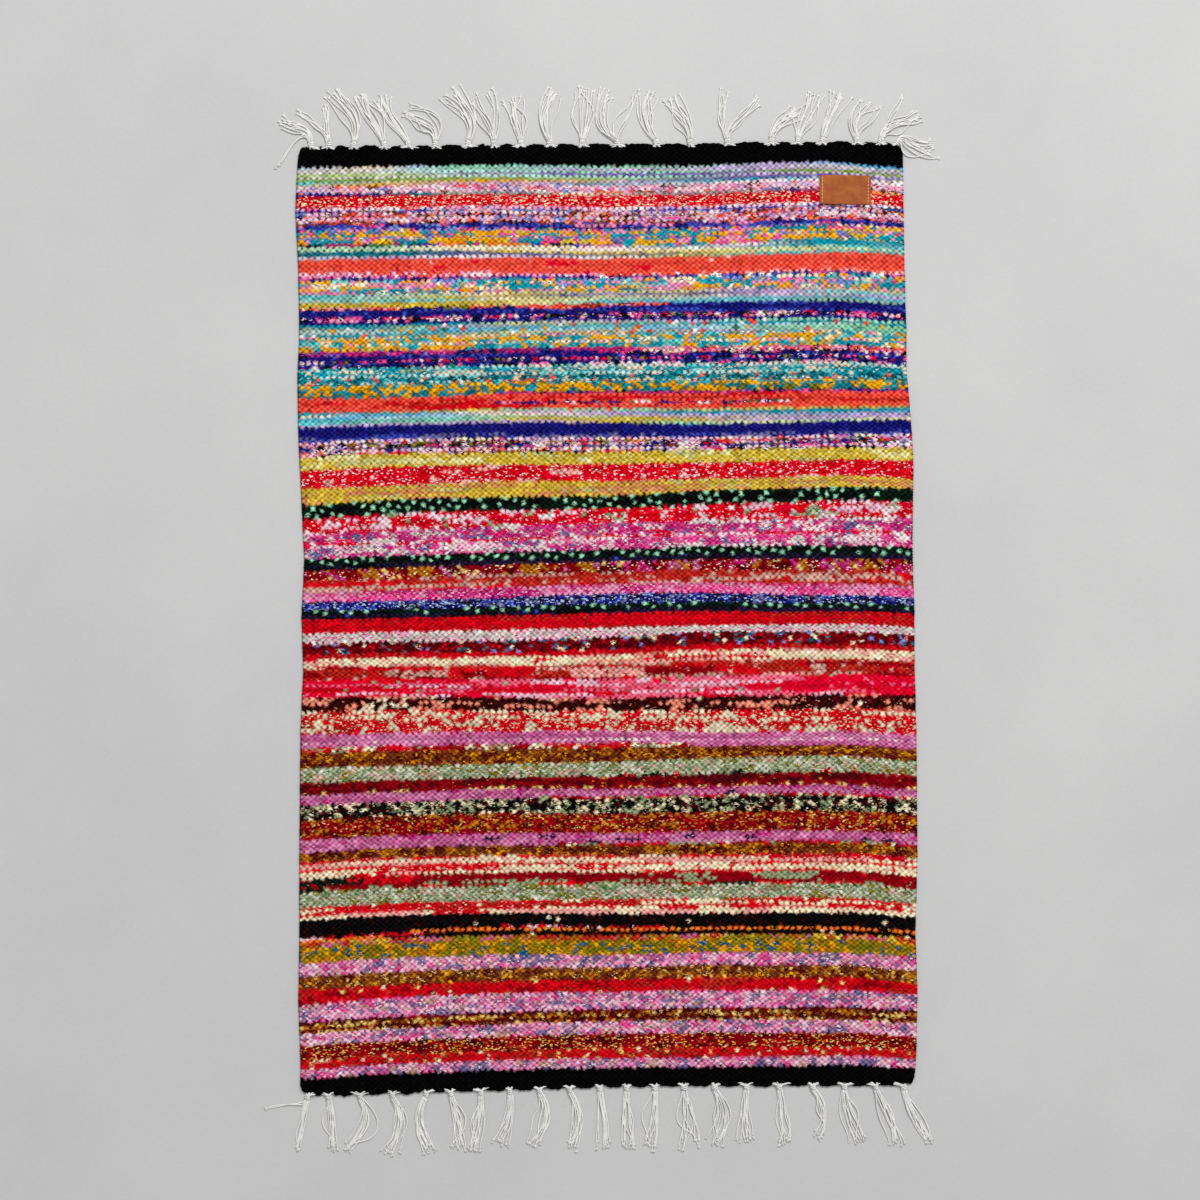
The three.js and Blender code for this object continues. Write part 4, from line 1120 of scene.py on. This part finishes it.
class Nodes:
    """A material's node tree with short ways to add and join nodes."""

    def __init__(self, name):
        self.material = bpy.data.materials.new(name)
        self.material.use_nodes = True
        self.tree = self.material.node_tree
        self.shader = self.tree.nodes["Principled BSDF"]

    def add(self, kind, **settings):
        node = self.tree.nodes.new(kind)
        for key, value in settings.items():
            setattr(node, key, value)
        return node

    def join(self, source, target):
        self.tree.links.new(source, target)

    def attribute(self, name):
        return self.add("ShaderNodeAttribute", attribute_name=name)

    def object_place(self, scale=(1, 1, 1)):
        """Object coordinates, stretched by the scale."""
        place = self.add("ShaderNodeTexCoord")
        mapping = self.add("ShaderNodeMapping")
        mapping.inputs["Scale"].default_value = scale
        self.join(place.outputs["Object"], mapping.inputs["Vector"])
        return mapping.outputs["Vector"]

    def noise(self, place, scale, detail=2.0, rough=0.5):
        node = self.add("ShaderNodeTexNoise")
        node.inputs["Scale"].default_value = scale
        node.inputs["Detail"].default_value = detail
        node.inputs["Roughness"].default_value = rough
        self.join(place, node.inputs["Vector"])
        return node.outputs["Fac"]

    def cells(self, place, scale):
        """A random value for each small cell."""
        node = self.add("ShaderNodeTexVoronoi")
        node.inputs["Scale"].default_value = scale
        self.join(place, node.inputs["Vector"])
        split = self.add("ShaderNodeSeparateColor")
        self.join(node.outputs["Color"], split.inputs["Color"])
        return split.outputs["Red"]

    def math(self, operation, first, second):
        node = self.add("ShaderNodeMath", operation=operation)
        self.join(first, node.inputs[0])
        self.join(second, node.inputs[1])
        return node.outputs["Value"]

    def spread(self, value, low, high, to_low, to_high):
        """A value from low to high carried over to another span, clamped."""
        node = self.add("ShaderNodeMapRange")
        limits = {"From Min": low, "From Max": high, "To Min": to_low, "To Max": to_high}
        for name, number in limits.items():
            node.inputs[name].default_value = number
        self.join(value, node.inputs["Value"])
        return node.outputs["Result"]

    def mix(self, share, first, second, how="MIX"):
        node = self.add("ShaderNodeMix", data_type="RGBA", blend_type=how)
        for name, value in (("Factor", share), ("A", first), ("B", second)):
            socket = [s for s in node.inputs if s.name == name and s.enabled][0]
            if isinstance(value, (int, float)):
                socket.default_value = value
            elif isinstance(value, tuple):
                socket.default_value = (*value, 1)
            else:
                self.join(value, socket)
        return [s for s in node.outputs if s.name == "Result" and s.enabled][0]

    def curve(self, colour, power):
        """The colour to a power: paler under one, deeper over one."""
        node = self.add("ShaderNodeGamma")
        self.join(colour, node.inputs["Color"])
        self.join(power, node.inputs["Gamma"])
        return node.outputs["Color"]

    def grey(self, value):
        node = self.add("ShaderNodeCombineColor")
        for name in ("Red", "Green", "Blue"):
            self.join(value, node.inputs[name])
        return node.outputs["Color"]

    def finish(self, colour, height, strength, distance, **sockets):
        """Joins colour and bump to the shader, and sets its plain sockets."""
        bump = self.add("ShaderNodeBump")
        bump.inputs["Strength"].default_value = strength
        bump.inputs["Distance"].default_value = distance
        self.join(height, bump.inputs["Height"])
        self.join(bump.outputs["Normal"], self.shader.inputs["Normal"])
        self.join(colour, self.shader.inputs["Base Color"])
        for name, value in sockets.items():
            self.shader.inputs[name.replace("_", " ")].default_value = value
        return self.material


def cotton_shader(nodes, sheen, gloss):
    """The soft halo of cotton fibres, and how much the yarn shines."""
    nodes.shader.inputs["Sheen Weight"].default_value = sheen
    nodes.shader.inputs["Sheen Roughness"].default_value = SHEEN_ROUGHNESS
    nodes.shader.inputs["Specular IOR Level"].default_value = gloss


def woven_cotton():
    """The weft's own colours, flecked at random where the yarn is, with painted shade down between the
    floats and a painted highlight on their crests, and a fine fibre along the rows."""
    nodes = Nodes("woven_cotton")
    weft = nodes.attribute("weft").outputs["Color"]
    fleck = nodes.attribute("fleck")
    relief = nodes.attribute("relief").outputs["Fac"]
    place = nodes.object_place((0.5, 1, 1))
    drawn = nodes.cells(place, 1000)
    flecked = nodes.math("LESS_THAN", drawn, fleck.outputs["Alpha"])
    colour = nodes.mix(flecked, weft, fleck.outputs["Color"])
    fibre = nodes.noise(nodes.object_place((0.45, 1, 1)), 1500, 3.0, 0.6)
    tone = nodes.spread(fibre, 0.28, 0.72, 0.7, 1.22)
    # Painted shade and highlight: darker down between the floats, a little lighter than the dye on their
    # crests, from the relief
    painted_shade_and_highlight = nodes.spread(relief, 0.5, 0.97, 0.28, 1.09)
    # More painted highlight and shade: the colour is paler on the crests and deeper down between the floats
    colour = nodes.curve(colour, nodes.spread(relief, 0.5, 1.0, 1.4, 0.86))
    colour = nodes.mix(1.0, colour, nodes.grey(nodes.math("MULTIPLY", tone, painted_shade_and_highlight)), "MULTIPLY")
    cotton_shader(nodes, sheen=0.02, gloss=0.0)
    return nodes.finish(colour, fibre, 0.5, 0.0004, Roughness=0.95)


def fringe_cotton():
    """Undyed cotton: off-white, a little greyer in places, with fine fibres."""
    nodes = Nodes("fringe_cotton")
    place = nodes.object_place()
    patches = nodes.noise(place, 90, 2.0)
    fibre = nodes.noise(place, 2200, 3.0, 0.6)
    colour = nodes.mix(nodes.spread(patches, 0.35, 0.65, 0, 1), *UNDYED)
    tone = nodes.grey(nodes.spread(fibre, 0.25, 0.75, 0.85, 1.1))
    colour = nodes.mix(1.0, colour, tone, "MULTIPLY")
    cotton_shader(nodes, sheen=0.1, gloss=0.15)
    return nodes.finish(colour, fibre, 0.4, 0.0003, Roughness=0.9)


def label_leather():
    """Tan leather with a fine grain and a mottle."""
    nodes = Nodes("label_leather")
    place = nodes.object_place()
    mottle = nodes.noise(place, 120, 4.0, 0.6)
    grain = nodes.noise(place, 1600, 3.0, 0.6)
    colour = nodes.mix(nodes.spread(mottle, 0.3, 0.7, 0, 1), *TAN)
    tone = nodes.grey(nodes.spread(grain, 0.3, 0.7, 0.88, 1.08))
    colour = nodes.mix(1.0, colour, tone, "MULTIPLY")
    return nodes.finish(colour, grain, 0.35, 0.0003, Roughness=0.6, Specular_IOR_Level=0.15)


def stitch_thread():
    """Waxed yellow-brown thread with a fine fibre."""
    nodes = Nodes("stitch_thread")
    fibre = nodes.noise(nodes.object_place(), 2600, 2.0)
    colour = nodes.mix(nodes.spread(fibre, 0.3, 0.7, 0, 1), *THREAD)
    return nodes.finish(colour, fibre, 0.3, 0.0002, Roughness=0.7)


def pale_floor():
    """A smooth pale floor with faint clouds and a slight grain."""
    nodes = Nodes("pale_floor")
    place = nodes.object_place()
    clouds = nodes.noise(place, 3.0, 4.0, 0.6)
    grain = nodes.noise(place, 260, 4.0, 0.6)
    colour = nodes.mix(nodes.spread(clouds, 0.3, 0.7, 0, 1), *FLOOR)
    tone = nodes.grey(nodes.spread(grain, 0.25, 0.75, 0.97, 1.02))
    colour = nodes.mix(1.0, colour, tone, "MULTIPLY")
    return nodes.finish(colour, grain, 0.12, 0.0008, Roughness=0.6)


# Stage

# Metres of floor across the photo, where its middle lies, and the lens; then the light
PHOTO_WIDTH = 1.176
PHOTO_MIDDLE_Y = 0.02145
LENS = 85
SENSOR = 36
VIEW_REACH = 20
FLOOR_REACH = 6.0
KEY = {"place": (1.3, 3.4, 4.5), "size": 2.0, "energy": 224, "colour": (1, 0.99, 0.975)}
WORLD = {"colour": (0.98, 0.98, 0.98, 1), "strength": 0.49}


def make_camera():
    """Straight above, at the height from which the lens takes in the photo's width of floor."""
    camera = bpy.data.objects.new("camera", bpy.data.cameras.new("camera"))
    camera.data.lens = LENS
    camera.data.sensor_width = SENSOR
    camera.data.clip_end = VIEW_REACH
    camera.location = (0, PHOTO_MIDDLE_Y, PHOTO_WIDTH * LENS / SENSOR)
    bpy.context.scene.collection.objects.link(camera)
    bpy.context.scene.camera = camera


def make_area_light(name, place, size, energy, colour):
    """A square soft light that looks at the middle of the mat."""
    light = bpy.data.lights.new(name, "AREA")
    light.shape = "SQUARE"
    light.size = size
    light.energy = energy
    light.color = colour
    lamp = bpy.data.objects.new(name, light)
    lamp.location = place
    back = np.array(place) / np.linalg.norm(place)
    turn_z = math.atan2(back[1], back[0]) + math.pi / 2
    lamp.rotation_euler = (math.acos(back[2]), 0, turn_z)
    bpy.context.scene.collection.objects.link(lamp)


def make_stage():
    """The floor, a pale world and one soft light from behind the far end."""
    floor_mesh = bpy.data.meshes.new("floor")
    reach = FLOOR_REACH
    corners = [(-reach, -reach, 0), (reach, -reach, 0), (reach, reach, 0), (-reach, reach, 0)]
    floor_mesh.from_pydata(corners, [], [(0, 1, 2, 3)])
    floor = bpy.data.objects.new("floor", floor_mesh)
    floor.data.materials.append(pale_floor())
    bpy.context.scene.collection.objects.link(floor)
    world = bpy.data.worlds.new("studio")
    world.use_nodes = True
    background = world.node_tree.nodes["Background"]
    background.inputs["Color"].default_value = WORLD["colour"]
    background.inputs["Strength"].default_value = WORLD["strength"]
    bpy.context.scene.world = world
    make_area_light("key", **KEY)
    bpy.context.scene.view_settings.view_transform = "Standard"


def dress(piece, material, slot_name, *nodes):
    """Gives a piece its material and its body, and hides the solids that it stands for. Its slot name is not
    used.
    """
    piece.data.materials.append(material)
    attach(piece, "root")
    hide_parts(*nodes)
    return piece


make_camera()
make_stage()

cotton = woven_cotton()
weft, fleck = weft_colours()
lengths = [make_cloth(order, weft, fleck) for order in range(CLOTH_PIECES)]
cloths = [dress(length, cotton, "woven_cotton", "mat") for length in lengths]

undyed = fringe_cotton()
dress(make_fringe("near_tassels", NEAR_TASSELS, NEAR_END), undyed, "fringe_cotton", "fringe_near")
dress(make_fringe("far_tassels", FAR_TASSELS, FAR_END), undyed, "fringe_cotton", "fringe_far")

dress(make_label(), label_leather(), "label_leather", "label")
dress(make_label_stitches(), stitch_thread(), "label_leather", "label")
